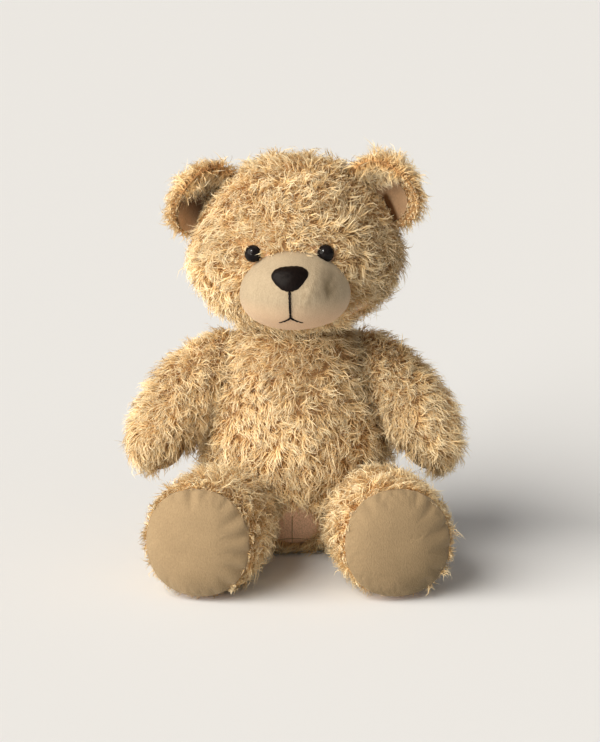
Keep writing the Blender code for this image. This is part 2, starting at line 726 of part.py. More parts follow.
def main():
    for old in list(bpy.data.objects):
        bpy.data.objects.remove(old)
    paint = {
        "plush": material("golden long-pile plush", (0.62, 0.40, 0.20), 0.95),
        "velour": material("tan velour", (0.60, 0.44, 0.27), 0.85),
        "lining": material("brown velour", (0.36, 0.22, 0.13), 0.90),
        "stuffing": material("white polyester stuffing", (0.82, 0.80, 0.76), 0.95),
        "nose": material("black embroidery thread", (0.02, 0.015, 0.012), 0.45),
        "eye": material("black gloss plastic", (0.006, 0.005, 0.005), 0.08),
        "washer": material("white nylon", (0.75, 0.75, 0.72), 0.5),
    }
    reach = 2 * (SOLE_FORWARD + LEG_RADIUS)
    floor = block("floor_clearance", (-reach, -reach, -reach), (reach, reach, 0))
    pose, head_form, head_skin, head_raised, head_filling = build_head(paint)
    eye_holes = build_eyes(paint, pose, head_form, head_skin, head_filling)
    build_muzzle(paint, pose, head_raised, eye_holes)
    build_ears(paint, pose, head_raised)
    body_skin, body_raised, body_filling, body_around, head_around = build_body(
        paint, head_form, pose, head_skin, head_raised, floor)
    build_arms(paint, body_raised, head_raised, body_around, head_around)
    build_legs(paint, body_raised, body_around, floor)
    for made in (head_skin, head_filling, body_skin, body_filling):
        keep_main_body(made)


main()
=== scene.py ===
import math
import time

import bpy
import numpy as np
from mathutils import Euler, Matrix, Vector
from mathutils.kdtree import KDTree


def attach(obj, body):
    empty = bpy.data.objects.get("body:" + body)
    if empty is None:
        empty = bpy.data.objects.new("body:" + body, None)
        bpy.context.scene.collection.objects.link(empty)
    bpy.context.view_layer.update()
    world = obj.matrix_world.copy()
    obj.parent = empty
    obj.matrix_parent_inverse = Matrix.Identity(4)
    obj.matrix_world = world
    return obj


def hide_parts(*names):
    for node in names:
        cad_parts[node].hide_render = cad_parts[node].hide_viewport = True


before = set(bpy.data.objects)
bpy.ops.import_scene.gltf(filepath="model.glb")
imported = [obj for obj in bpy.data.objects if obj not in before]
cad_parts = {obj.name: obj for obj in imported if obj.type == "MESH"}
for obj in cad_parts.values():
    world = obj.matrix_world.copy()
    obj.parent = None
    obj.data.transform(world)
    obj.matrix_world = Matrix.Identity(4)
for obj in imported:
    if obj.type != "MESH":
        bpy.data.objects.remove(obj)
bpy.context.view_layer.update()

scene = bpy.context.scene
mm = 0.001
print("frame loaded:", len(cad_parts), "nodes")


# The camera looks at the bear's middle from a little above, as in the photograph.
camera = {
    "target": (0.0036, 0.0, 0.118),  # metres
    "distance": 1.8,
    "elevation": 14.0,  # degrees
    "metresPerPixel": 0.000662,  # at the target
    "imageHeight": 742,
}


def setCamera():
    tilt = math.radians(camera["elevation"])
    lens = bpy.data.cameras.new("camera")
    lens.sensor_fit = "AUTO"
    lens.sensor_width = 36
    lens.lens = 36 * camera["distance"] / camera["metresPerPixel"] / camera["imageHeight"]
    eye = bpy.data.objects.new("camera", lens)
    x, y, z = camera["target"]
    away = camera["distance"]
    eye.location = (x, y - away * math.cos(tilt), z + away * math.sin(tilt))
    eye.rotation_euler = (math.pi / 2 - tilt, 0, 0)
    scene.collection.objects.link(eye)
    scene.camera = eye


studio = {
    "key": {"from": (-2.10, -1.45, 1.50), "spread": 65.0, "power": 4.95, "colour": (1.0, 0.93, 0.82)},
    "fill": {"from": (1.2, -2.0, 0.6), "spread": 60.0, "power": 0.15, "colour": (1.0, 0.95, 0.90)},
    # The catch lamp lights the eyes only.
    "catch": {"from": (-0.6, -0.8, 0.9), "spread": 13.0, "power": 4.5, "colour": (1.0, 0.98, 0.95)},
    "room": (0.92, 0.87, 0.80),
    "roomStrength": 0.25,
    "wall": (0.835, 0.805, 0.76),
    "floor": (0.812, 0.837, 0.883),
    "floorReach": 60.0,
}


shiny = bpy.data.collections.new("lit by the catch lamp")


def setLamps():
    for name in ("key", "fill", "catch"):
        facts = studio[name]
        lamp = bpy.data.lights.new(name, "SUN")
        lamp.angle = math.radians(facts["spread"])
        lamp.energy = facts["power"]
        lamp.color = facts["colour"]
        holder = bpy.data.objects.new(name, lamp)
        holder.location = facts["from"]
        holder.rotation_euler = (-Vector(facts["from"])).to_track_quat("-Z", "Y").to_euler()
        scene.collection.objects.link(holder)
        if name == "catch":
            holder.light_linking.receiver_collection = shiny


# Behind the floor the camera sees a pale wall, and the bear is lit by the dimmer room.
def setRoom():
    world = bpy.data.worlds.new("room")
    world.use_nodes = True
    nodes, links = world.node_tree.nodes, world.node_tree.links
    glow = nodes["Background"]
    glow.inputs["Color"].default_value = (*studio["room"], 1)
    glow.inputs["Strength"].default_value = studio["roomStrength"]
    wall = nodes.new("ShaderNodeBackground")
    wall.inputs["Color"].default_value = (*studio["wall"], 1)
    mixed = nodes.new("ShaderNodeMixShader")
    links.new(nodes.new("ShaderNodeLightPath").outputs["Is Camera Ray"], mixed.inputs["Fac"])
    links.new(glow.outputs["Background"], mixed.inputs[1])
    links.new(wall.outputs["Background"], mixed.inputs[2])
    links.new(mixed.outputs["Shader"], nodes["World Output"].inputs["Surface"])
    scene.world = world
    scene.view_settings.view_transform = "Standard"


def setFloor():
    reach = studio["floorReach"]
    ground = bpy.data.meshes.new("floor")
    ground.from_pydata([(-reach, -reach, 0), (reach, -reach, 0), (reach, reach, 0), (-reach, reach, 0)], [],
                       [(0, 1, 2, 3)])
    floor = bpy.data.objects.new("floor", ground)
    scene.collection.objects.link(floor)
    paper = bpy.data.materials.new("pale paper")
    paper.use_nodes = True
    shader = paper.node_tree.nodes["Principled BSDF"]
    shader.inputs["Base Color"].default_value = (*studio["floor"], 1)
    shader.inputs["Roughness"].default_value = 0.9
    shader.inputs["Specular IOR Level"].default_value = 0.1
    ground.materials.append(paper)


setCamera()
setLamps()
setRoom()
setFloor()
print("camera, lamps and floor set")


# Sewn forms. Each one gives points from two angles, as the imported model's own forms do.
cloth = {"overFloor": 2.0 * mm}


def placed(matrix, points):
    return points @ np.array(matrix.to_3x3()).T + np.array(matrix.translation)


def unit(vectors):
    return vectors / np.maximum(np.linalg.norm(vectors, axis=-1, keepdims=True), 1e-12)


def distance(points, spot):
    return np.linalg.norm(points - spot, axis=-1)


# 0 up to the start, then rising evenly to 1 over the given stretch.
def rise(values, start, stretch):
    return np.clip((values - start) / stretch, 0, 1)


# A soft round patch: 1 at its centre, fading over its size.
def patchAt(x, z, centre, size):
    return np.exp(-((x - centre[0]) / size[0]) ** 2 - ((z - centre[1]) / size[1]) ** 2)


class Egg:
    def __init__(self, half, taper, fullness, place, bow=0.0, onFloor=False):
        self.half, self.taper, self.fullness = half, taper, fullness
        self.place, self.bow, self.onFloor = place, bow, onFloor

    def ring(self, polar):
        return np.abs(np.sin(polar)) ** self.fullness * (1 - self.taper * np.cos(polar))

    def point(self, polar, around):
        wide, deep, high = self.half
        ring = self.ring(polar)
        local = np.stack([
            wide * ring * np.cos(around),
            deep * ring * np.sin(around) - self.bow * np.sin(polar) ** 2,
            high * np.cos(polar) + 0 * around,
        ], axis=-1)
        points = placed(self.place, local)
        if self.onFloor:
            points[..., 2] = np.maximum(points[..., 2], cloth["overFloor"])
        return points

    def frontAngles(self, across, up):
        polar = math.acos(up / self.half[2])
        around = -math.acos(across / (self.half[0] * self.ring(polar)))
        return np.array([polar]), np.array([around])

    # True where a point is inside the form grown by this much.
    def holds(self, points, grow=0.0):
        local = placed(self.place.inverted(), points)
        wide, deep, high = (side + grow for side in self.half)
        up = np.clip(local[..., 2] / high, -1, 1)
        polar = np.arccos(up)
        ring = np.maximum(self.ring(polar), 1e-6)
        y = local[..., 1] + self.bow * np.sin(polar) ** 2
        inside = (local[..., 0] / (wide * ring)) ** 2 + (y / (deep * ring)) ** 2 < 1
        return inside & (np.abs(local[..., 2]) < high)


class Dish:
    def __init__(self, half, front, back, place, cup=0.0, hood=0.0, pointDown=0.0, shape=None):
        self.half, self.front, self.back, self.place = half, front, back, place
        self.cup, self.hood, self.pointDown, self.shape = cup, hood, pointDown, shape

    def point(self, polar, around):
        out = np.sin(polar)
        outline = 1 + self.pointDown * np.cos(3 * (around + math.pi / 2))
        depth = np.where(np.cos(polar) > 0, self.front, self.back)
        local = np.stack([
            self.half[0] * out * outline * np.cos(around),
            -depth * np.cos(polar) - self.cup * out ** 2
            - self.hood * np.maximum(0, out * np.sin(around)) ** 2,
            self.half[1] * out * outline * np.sin(around),
        ], axis=-1)
        if self.shape:
            local = self.shape(local, polar, around)
        return placed(self.place, local)


def normalsOf(form, polar, around):
    step = 1e-3
    down = form.point(polar + step, around) - form.point(polar - step, around)
    across = form.point(polar, around + step) - form.point(polar, around - step)
    return unit(np.cross(down, across))


# A smooth random field: one vector for each point, about one unit long.
def drift(points, waveLength, seed, waves=5):
    chance = np.random.default_rng(seed)
    total = np.zeros(points.shape)
    for _ in range(waves):
        way = unit(chance.normal(size=3)) * 2 * math.pi / waveLength * chance.uniform(0.6, 1.5)
        phase = chance.uniform(0, 2 * math.pi, 3)
        total += np.sin((points @ way)[..., None] + phase)
    return total / math.sqrt(waves)


# A finish: its material, its node tree and its shader.
def finish(name, roughness, sheen=0.0, sheenTint=(1, 1, 1), specular=0.3):
    made = bpy.data.materials.new(name)
    made.use_nodes = True
    shader = made.node_tree.nodes["Principled BSDF"]
    shader.inputs["Roughness"].default_value = roughness
    shader.inputs["Sheen Weight"].default_value = sheen
    shader.inputs["Sheen Roughness"].default_value = 0.45
    shader.inputs["Sheen Tint"].default_value = (*sheenTint, 1)
    shader.inputs["Specular IOR Level"].default_value = specular
    return made, made.node_tree, shader


def node(tree, kind, **settings):
    made = tree.nodes.new(kind)
    for name, value in settings.items():
        setattr(made, name, value)
    return made


# A colour ramp; stops are (place, colour) pairs.
def ramp(tree, source, stops):
    made = node(tree, "ShaderNodeValToRGB")
    bar = made.color_ramp
    while len(bar.elements) < len(stops):
        bar.elements.new(0.5)
    for element, (place, colour) in zip(bar.elements, stops):
        element.position = place
        element.color = (*colour, 1)
    tree.links.new(source, made.inputs["Fac"])
    return made.outputs["Color"]


def attribute(tree, name):
    return node(tree, "ShaderNodeAttribute", attribute_name=name).outputs["Fac"]


def blend(tree, share, first, second, kind="MIX"):
    made = node(tree, "ShaderNodeMix", data_type="RGBA", blend_type=kind)
    sockets = [s for s in made.inputs if s.enabled]
    for socket, value in zip(sockets, (share, first, second)):
        if isinstance(value, (int, float)):
            socket.default_value = value
        elif isinstance(value, tuple):
            socket.default_value = (*value, 1)
        else:
            tree.links.new(value, socket)
    return [s for s in made.outputs if s.enabled][0]


def noise(tree, scale, detail, stretch=(1, 1, 1)):
    where = node(tree, "ShaderNodeTexCoord").outputs["Object"]
    mapping = node(tree, "ShaderNodeMapping")
    mapping.inputs["Scale"].default_value = stretch
    tree.links.new(where, mapping.inputs["Vector"])
    made = node(tree, "ShaderNodeTexNoise")
    made.inputs["Scale"].default_value = scale
    made.inputs["Detail"].default_value = detail
    tree.links.new(mapping.outputs["Vector"], made.inputs["Vector"])
    return made.outputs["Fac"]


def bump(tree, shader, height, strength, distance):
    made = node(tree, "ShaderNodeBump")
    made.inputs["Strength"].default_value = strength
    made.inputs["Distance"].default_value = distance
    tree.links.new(height, made.inputs["Height"])
    tree.links.new(made.outputs["Normal"], shader.inputs["Normal"])


fur = {
    "root": (0.62, 0.32, 0.11), "middle": (0.90, 0.65, 0.325), "tip": (0.96, 0.875, 0.65), "middleAt": 0.36,
    # The next value sets how far a coat's darkening lowers a hair's tint towards dull; on the upper chest
    # that is painted shade.
    "dull": (0.60, 0.56, 0.52), "bright": (1.10, 1.12, 1.14), "darkening": 0.50,
    "backing": (0.55, 0.33, 0.15), "bare": (0.95, 0.62, 0.42),
}


def furFinish():
    made, tree, shader = finish("golden pile", 0.75, sheen=0.25, sheenTint=(1.0, 0.86, 0.62), specular=0.25)
    along = ramp(tree, attribute(tree, "along"), [(0.0, fur["root"]), (fur["middleAt"], fur["middle"]),
                                                    (1.0, fur["tip"])])
    tint = ramp(tree, attribute(tree, "tint"), [(0.0, fur["dull"]), (0.55, (1, 1, 1)), (1.0, fur["bright"])])
    tree.links.new(blend(tree, 1.0, along, tint, "MULTIPLY"), shader.inputs["Base Color"])
    return made


def backingFinish():
    made, tree, shader = finish("worn backing cloth", 0.9, sheen=0.15, sheenTint=(1.0, 0.85, 0.7))
    weave = noise(tree, 1400, 1.0, stretch=(1, 1, 0.35))
    blotch = noise(tree, 60, 4.0)
    furred = ramp(tree, blotch, [(0.3, fur["backing"]), (0.7, tuple(0.8 * c for c in fur["backing"]))])
    bare = ramp(tree, blotch, [(0.3, fur["bare"]), (0.7, tuple(0.82 * c for c in fur["bare"]))])
    colour = blend(tree, attribute(tree, "bare"), furred, bare)
    worn = ramp(tree, weave, [(0.35, (0.82, 0.80, 0.78)), (0.6, (1.05, 1.05, 1.05))])
    tree.links.new(blend(tree, 1.0, colour, worn, "MULTIPLY"), shader.inputs["Base Color"])
    bump(tree, shader, weave, 0.5, 0.0003)
    return made


furMaterial = furFinish()
backingMaterial = backingFinish()


# One mesh from arrays, riding on the only body.
def newPiece(name, points, triangles, materials, slots=None, attributes=None, uv=None):
    mesh = bpy.data.meshes.new(name)
    mesh.vertices.add(len(points))
    mesh.vertices.foreach_set("co", np.asarray(points, dtype=np.float32).ravel())
    mesh.loops.add(3 * len(triangles))
    mesh.loops.foreach_set("vertex_index", np.asarray(triangles, dtype=np.int32).ravel())
    mesh.polygons.add(len(triangles))
    mesh.polygons.foreach_set("loop_start", np.arange(0, 3 * len(triangles), 3, dtype=np.int32))
    for material in materials:
        mesh.materials.append(material)
    if slots is not None:
        mesh.polygons.foreach_set("material_index", np.asarray(slots, dtype=np.int32))
    mesh.polygons.foreach_set("use_smooth", np.ones(len(triangles), dtype=bool))
    for key, values in (attributes or {}).items():
        layer = mesh.attributes.new(key, "FLOAT", "POINT")
        layer.data.foreach_set("value", np.asarray(values, dtype=np.float32).ravel())
    if uv is not None:
        layer = mesh.uv_layers.new(name="OFBake")
        layer.data.foreach_set("uv", np.asarray(uv, dtype=np.float32).ravel())
    mesh.update()
    mesh.validate()
    made = bpy.data.objects.new(name, mesh)
    scene.collection.objects.link(made)
    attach(made, "root")
    return made


# On the bake's map the hairs take the left half and a coat's cloth the right half.
bakeMap = {"hairs": 0.012, "hairsWide": 0.47, "hairEdge": 0.004, "cloth": 0.52, "clothWide": 0.46,
           "margin": 0.01, "inside": 0.98}


# The cloth of a form as a grid of triangles, with its place on the map for each point, and its angles.
def skinOf(form, rows, columns, polarFrom=0.0, polarTo=math.pi):
    polar = np.linspace(polarFrom, polarTo, rows + 1)
    around = np.linspace(0, 2 * math.pi, columns + 1)
    polars, arounds = np.meshgrid(polar, around, indexing="ij")
    points = form.point(polars, arounds).reshape(-1, 3)
    row, column = np.meshgrid(np.arange(rows), np.arange(columns), indexing="ij")
    a = (row * (columns + 1) + column).ravel()
    b, c, d = a + 1, a + columns + 2, a + columns + 1
    triangles = np.vstack([np.stack([a, d, c], 1), np.stack([a, c, b], 1)])
    u = bakeMap["cloth"] + bakeMap["clothWide"] * arounds.ravel() / (2 * math.pi)
    v = bakeMap["margin"] + bakeMap["inside"] * (polars.ravel() - polarFrom) / (polarTo - polarFrom)
    return points, triangles, np.stack([u, v], 1), polars.ravel(), arounds.ravel()


# Angles of roots spread evenly over the form's area.
def scatter(form, count, chance, polarFrom, polarTo):
    rows, columns = 180, 240
    polar = np.linspace(polarFrom, polarTo, rows + 1)
    around = np.linspace(0, 2 * math.pi, columns + 1)
    grid = form.point(*np.meshgrid(polar, around, indexing="ij"))
    area = np.linalg.norm(np.cross(grid[1:, :-1] - grid[:-1, :-1], grid[:-1, 1:] - grid[:-1, :-1]), axis=-1)
    total = np.cumsum(area.ravel())
    picks = (np.arange(count) + chance.random(count)) / count * total[-1]
    cell = np.minimum(np.searchsorted(total, picks), total.size - 1)
    row, column = cell // columns, cell % columns
    return (polar[row] + chance.random(count) * (polar[1] - polar[0]),
            around[column] + chance.random(count) * (around[1] - around[0]))


# What all the coats share. A coat's own dictionary adds the rest.
pile = {
    "hairsInLock": 12, "looseShare": 0.22, "liftSpread": 0.3, "gather": 0.7, "crimp": 0.13, "twist": 1.0,
    "underShare": 0.62, "patchy": 0.08, "patchWide": 0.05,
    "stray": 0.22,  # how far a hair turns from its lock
    "lengths": (0.65, 1.15), "widths": (0.75, 1.25), "lifts": (0.25, 1.6),
    "looseGather": 0.1, "arch": 0.42, "crimpTurn": 4.4,
    "rootSunk": 0.6 * mm, "overFloor": 0.4 * mm,
}
# A long hair has seven corners and an under hair five, up to its tip.
longHair = {
    "steps": 3, "wide": (1.0, 0.95, 0.65), "along": (0, 0, 0.34, 0.34, 0.68, 0.68, 1.0), "darkening": 0.75,
    "faces": ((0, 1, 3), (0, 3, 2), (2, 3, 5), (2, 5, 4), (4, 5, 6)),
}
underHair = {
    "steps": 2, "wide": (1.0, 0.85), "along": (0, 0, 0.36, 0.36, 0.72), "darkening": 1.7,
    "faces": ((0, 1, 3), (0, 3, 2), (2, 3, 4)),
}


# Curved tapering hairs gathered into locks. Gives points, triangles and what the finish reads.
def growHair(form, coat, count, hair, comb, furry, darkened, seed, polarRange):
    chance = np.random.default_rng(seed)
    polar, around = scatter(form, count, chance, *polarRange)
    roots = form.point(polar, around)
    normal = normalsOf(form, polar, around)
    keep = chance.random(count) < furry(roots)[0]
    roots, normal = roots[keep], normal[keep]
    scale = furry(roots)[1]
    count = len(roots)

    # Each hair belongs to the lock of its nearest leader.
    lockCount = max(1, int(count / coat["hairsInLock"]))
    leaders = chance.choice(count, lockCount, replace=False)
    tree = KDTree(lockCount)
    for i, k in enumerate(leaders):
        tree.insert(roots[k], i)
    tree.balance()
    lock = np.array([tree.find(p)[1] for p in roots])
    centre = roots[leaders][lock]

    # The way each hair leans, along the cloth
    way = comb(roots)
    lockWay = way[leaders][lock] + coat["lockSpread"] * chance.normal(size=(lockCount, 3))[lock]
    loose = (chance.random(count) < coat["looseShare"])[:, None]
    ownWay = way + coat["looseSpread"] * chance.normal(size=(count, 3))
    way = np.where(loose, ownWay, lockWay + coat["stray"] * chance.normal(size=(count, 3)))
    way = unit(way - normal * np.sum(way * normal, axis=-1, keepdims=True))
    side = np.cross(normal, way)

    length = coat["length"] * scale * chance.uniform(*coat["lengths"], count)
    length = length * (0.85 + 0.3 * chance.random(lockCount)[lock])
    if hair is underHair:
        length = length * coat["underShare"]
    length = length[:, None]
    lift = coat["lift"] * (1 + coat["liftSpread"] * chance.normal(size=lockCount)[lock])
    lift = np.where(loose[:, 0], lift + 0.25 * chance.normal(size=count), lift)
    lift = np.clip(lift, *coat["lifts"])[:, None]
    bend = (coat["curl"] * (chance.normal(size=lockCount)[lock] + 0.6 * chance.normal(size=count)))[:, None]
    phase = chance.uniform(0, 2 * math.pi, lockCount)[lock][:, None] + 0.5 * chance.normal(size=(count, 1))

    pull = np.where(loose, coat["looseGather"], coat["gather"])
    path = [roots - normal * coat["rootSunk"]]
    for k in range(1, hair["steps"] + 1):
        t = k / hair["steps"]
        turned = phase + coat["crimpTurn"] * t
        up = lift * (t - coat["arch"] * t * t) + coat["crimp"] * t * np.cos(turned)
        run = coat["lean"] * t ** 1.35
        swing = bend * t * t + coat["crimp"] * (np.sin(turned) - np.sin(phase))
        point = roots + (centre - roots) * pull * t ** 0.8
        path.append(point + length * (normal * up + way * run + side * swing))
    path = np.stack(path, axis=1)
    path[..., 2] = np.maximum(path[..., 2], coat["overFloor"])

    turn = chance.uniform(-coat["twist"], coat["twist"], count)[:, None]
    flat = side * np.cos(turn) + normal * np.sin(turn)
    wide = coat["width"] * chance.uniform(*coat["widths"], count)[:, None]
    corners = []
    for k, share in enumerate(hair["wide"]):
        corners += [path[:, k] - flat * wide * share / 2, path[:, k] + flat * wide * share / 2]
    corners.append(path[:, hair["steps"]])
    points = np.stack(corners, axis=1)
    perHair = points.shape[1]
    triangles = (np.arange(count)[:, None, None] * perHair + np.array(hair["faces"])[None]).reshape(-1, 3)

    tint = 0.5 + 0.16 * chance.normal(size=count) + 0.12 * chance.normal(size=lockCount)[lock]
    tint += coat["patchy"] * drift(roots, coat["patchWide"], seed + 7)[:, 0]
    # The tint drops where the coat's darkening function says, more on under hairs; on the upper chest this is
    # painted shade.
    tint = np.clip(tint - fur["darkening"] * hair["darkening"] * darkened(roots), 0, 1)
    along = np.broadcast_to(np.array(hair["along"]), (count, perHair))
    tint = np.broadcast_to(tint[:, None], (count, perHair))
    edge = np.array([-1, 1] * (perHair // 2) + [0]) * bakeMap["hairEdge"]
    u = bakeMap["hairs"] + bakeMap["hairsWide"] * tint + edge[None]
    v = bakeMap["margin"] + bakeMap["inside"] * along
    uv = np.stack([u, v], axis=-1).reshape(-1, 2)
    return points.reshape(-1, 3), triangles, along.ravel(), tint.ravel(), uv


# No darkening anywhere.
def notDarkened(points):
    return np.zeros(len(points))


# The cloth of a form with its hair. comb gives the way the hair leans at each point, furry how thick and how
# long it grows there, and the darkening function how much darker and greyer its hair is made there.
def makeCoat(name, form, coat, comb, furry, grid, stoodFor, polarRange=(0.0, math.pi),
             darkened=notDarkened):
    coat = {**pile, **coat}
    points, triangles, uv = skinOf(form, *grid, *polarRange)[:3]
    bare = 1 - furry(points)[0]
    parts = [(points, triangles, np.zeros(len(points)), np.full(len(points), 0.5), uv, bare, 1)]
    for hair, count, seed in ((longHair, coat["hairs"], coat["seed"]),
                              (underHair, coat["underHairs"], coat["seed"] + 3)):
        made = growHair(form, coat, count, hair, comb, furry, darkened, seed, polarRange)
        parts.append((*made, np.zeros(len(made[0])), 0))
    starts = np.cumsum([0] + [len(p[0]) for p in parts])
    triangles = np.vstack([p[1] + start for p, start in zip(parts, starts)])
    uv = np.vstack([p[4] for p in parts])
    piece = newPiece(
        name, np.vstack([p[0] for p in parts]), triangles, [furMaterial, backingMaterial],
        slots=np.concatenate([np.full(len(p[1]), p[6]) for p in parts]),
        attributes={"along": np.concatenate([p[2] for p in parts]),
                    "tint": np.concatenate([p[3] for p in parts]),
                    "bare": np.concatenate([p[5] for p in parts])},
        uv=uv[triangles.ravel()],
    )
    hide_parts(stoodFor)
    print(name, len(triangles), "triangles")


def toward(start, end):
    axis = (Vector(end) - Vector(start)).normalized()
    side = axis.cross(Vector((0, 0, 1))).normalized()
    return Matrix.Translation(start) @ Matrix((side, axis.cross(side), axis)).transposed().to_4x4()


# The forms of the bear, worked out first, because the coats keep clear of each other.
head = {
    "half": (65.5 * mm, 52.0 * mm, 53.5 * mm), "cheeks": 0.08, "fullness": 0.92,
    "place": (0.4 * mm, -12.0 * mm, 206.7 * mm), "yaw": -4.0, "roll": -1.0,
    "faceUp": 12.0 * mm, "faceReach": 0.075,  # the hair parts from above the muzzle
    "shortByMuzzle": 0.65, "shortByEyes": 0.28, "shortByEars": 0.4,
    "rubbedAt": (42.0 * mm, -20.0 * mm, -39.0 * mm), "rubbedRadius": 11.0 * mm,
    # Where the pile on the bear's left of the head is made darker and greyer.
    "darkerAside": (20.0 * mm, 22.0 * mm), "darkerAbove": (-42.0 * mm, 16.0 * mm), "darkerAhead": 10.0 * mm,
    "hairs": 27000, "underHairs": 20000, "length": 10.5 * mm, "width": 0.6 * mm, "seed": 101,
    "lockSpread": 0.55, "looseSpread": 1.1, "lift": 1.05, "lean": 0.72, "curl": 0.34,
}
muzzle = {
    "half": (35.0 * mm, 33.0 * mm, 25.8 * mm), "jowls": 0.14, "fullness": 0.85,
    "place": (2.7 * mm, -44.0 * mm, -20.0 * mm), "rows": 72, "columns": 96,
    "ridge": 1.0 * mm, "ridgeAt": (10.5 * mm, 4.0 * mm), "ridgeSize": (4.5 * mm, 13.0 * mm),
    "ridgeSlant": 0.35,
    "hollow": 1.1 * mm, "hollowAt": (24.0 * mm, 4.0 * mm), "hollowSize": (4.0 * mm, 9.0 * mm),
    # The smudge lies on the hollow: a dirty mark darkened further as painted shade in the hollow.
    "smudgeShadeAt": (24.0 * mm, 5.0 * mm), "smudgeShadeSize": (4.8 * mm, 9.0 * mm),
    "lumps": 0.15 * mm, "lumpWide": 0.016, "napWide": 0.009,
}
seams = {"threadRadius": 0.32 * mm, "halfWidth": 9.0 * mm, "up": 13.0 * mm, "top": 31.0 * mm,
         "foot": 4.0 * mm, "sag": 1.5 * mm, "aside": -1.5 * mm, "stand": 0.15 * mm}
eyes = {"radius": 5.2 * mm, "spacing": 45.2 * mm, "up": 3.0 * mm, "proud": 1.0 * mm,
        "domeRadius": 5.6 * mm, "domeHeight": 5.4 * mm, "rim": 0.5 * mm}
body = {
    "half": (58.5 * mm, 47.0 * mm, 81.5 * mm), "pear": 0.16, "fullness": 0.80, "middle": 79.5 * mm,
    "bareUp": 22.5 * mm, "bareRadius": 16.5 * mm,
    # The upper chest on the bear's left, under the head, gets painted shade; a soft patch low on the belly's
    # other side is made lighter.
    "darkerAside": (14.0 * mm, 25.0 * mm), "darkerAbove": (80.0 * mm, 40.0 * mm),
    "lighterAt": (-24.0 * mm, 70.0 * mm), "lighterSize": (26.0 * mm, 34.0 * mm),
    "hairs": 27000, "underHairs": 20000, "length": 11.0 * mm, "width": 0.62 * mm, "seed": 201,
    "lockSpread": 0.5, "looseSpread": 0.9, "lift": 1.0, "lean": 0.78, "curl": 0.34,
}
arms = {
    "radius": 20.5 * mm, "halfLength": 52.0 * mm, "taper": 0.10, "fullness": 0.72, "bow": 6.0 * mm,
    "shoulder": (44.0 * mm, 8.0 * mm, 128.0 * mm), "paw": (86.5 * mm, -21.0 * mm, 77.5 * mm),
    "palmRadius": 13.0 * mm, "palmStand": 1.0 * mm, "palmPolar": 42.0, "palmForward": 25.0,
    # How far round the palm the pile is made darker, in palm radii.
    "darkerTo": 2.1,  # palm radii
    "hairs": 10000, "underHairs": 7000, "length": 10.0 * mm, "width": 0.6 * mm, "seed": 301,
    "lockSpread": 0.5, "looseSpread": 0.9, "lift": 1.0, "lean": 0.78, "curl": 0.32,
}
legs = {
    "radius": 32.5 * mm, "halfLength": 78.0 * mm, "taper": 0.16, "fullness": 0.50, "axisUp": 37.5 * mm,
    "reach": 96.0 * mm, "hipLower": 8.0 * mm, "footTurn": {"left": 8.0, "right": 12.0},
    "soleOut": {"left": 64.5 * mm, "right": 60.0 * mm}, "soleForward": 121.0 * mm,
    "combedToSole": 22.0 * mm, "thinUnder": 3.0 * mm, "thinUnderSole": (9.0 * mm, 16.0 * mm),
    "hairs": 13500, "underHairs": 11000, "length": 10.0 * mm, "width": 0.6 * mm, "seed": 401,
    "lockSpread": 0.55, "looseSpread": 0.9, "lift": 1.0, "lean": 0.72, "curl": 0.32,
}
ears = {
    "half": (25.0 * mm, 24.0 * mm), "cup": 13.0 * mm, "hood": 8.0 * mm, "front": 0.6 * mm, "back": 6.5 * mm,
    "out": 71.5 * mm, "angle": {"left": 31.0, "right": 27.0}, "behind": 6.0 * mm, "nod": 18.0,
    "turn": {"left": 14.0, "right": 30.0},
    "hairs": 5200, "underHairs": 3200, "length": 9.5 * mm, "width": 0.6 * mm, "seed": 501,
    "lockSpread": 0.55, "looseSpread": 1.0, "lift": 0.95, "lean": 0.72, "curl": 0.34,
    "liningRadius": 13.0 * mm, "liningAside": {"left": 7.0 * mm, "right": 10.5 * mm},
    "liningDown": {"left": 3.5 * mm, "right": 0.0}, "liningStand": 1.8 * mm, "liningThick": 0.8 * mm,
    "frontSkin": 1.5 * mm, "frontShorter": 0.28,
    "flapFrom": {"left": -8.0 * mm, "right": -1.5 * mm}, "flapLonger": 1.1,
    "topFrom": 4.0 * mm, "topLonger": {"left": 1.4, "right": 1.0},
    "crease": 7.0 * mm, "creaseWidth": 2.4 * mm, "creaseDepth": {"left": 0.0, "right": 0.7 * mm},
}

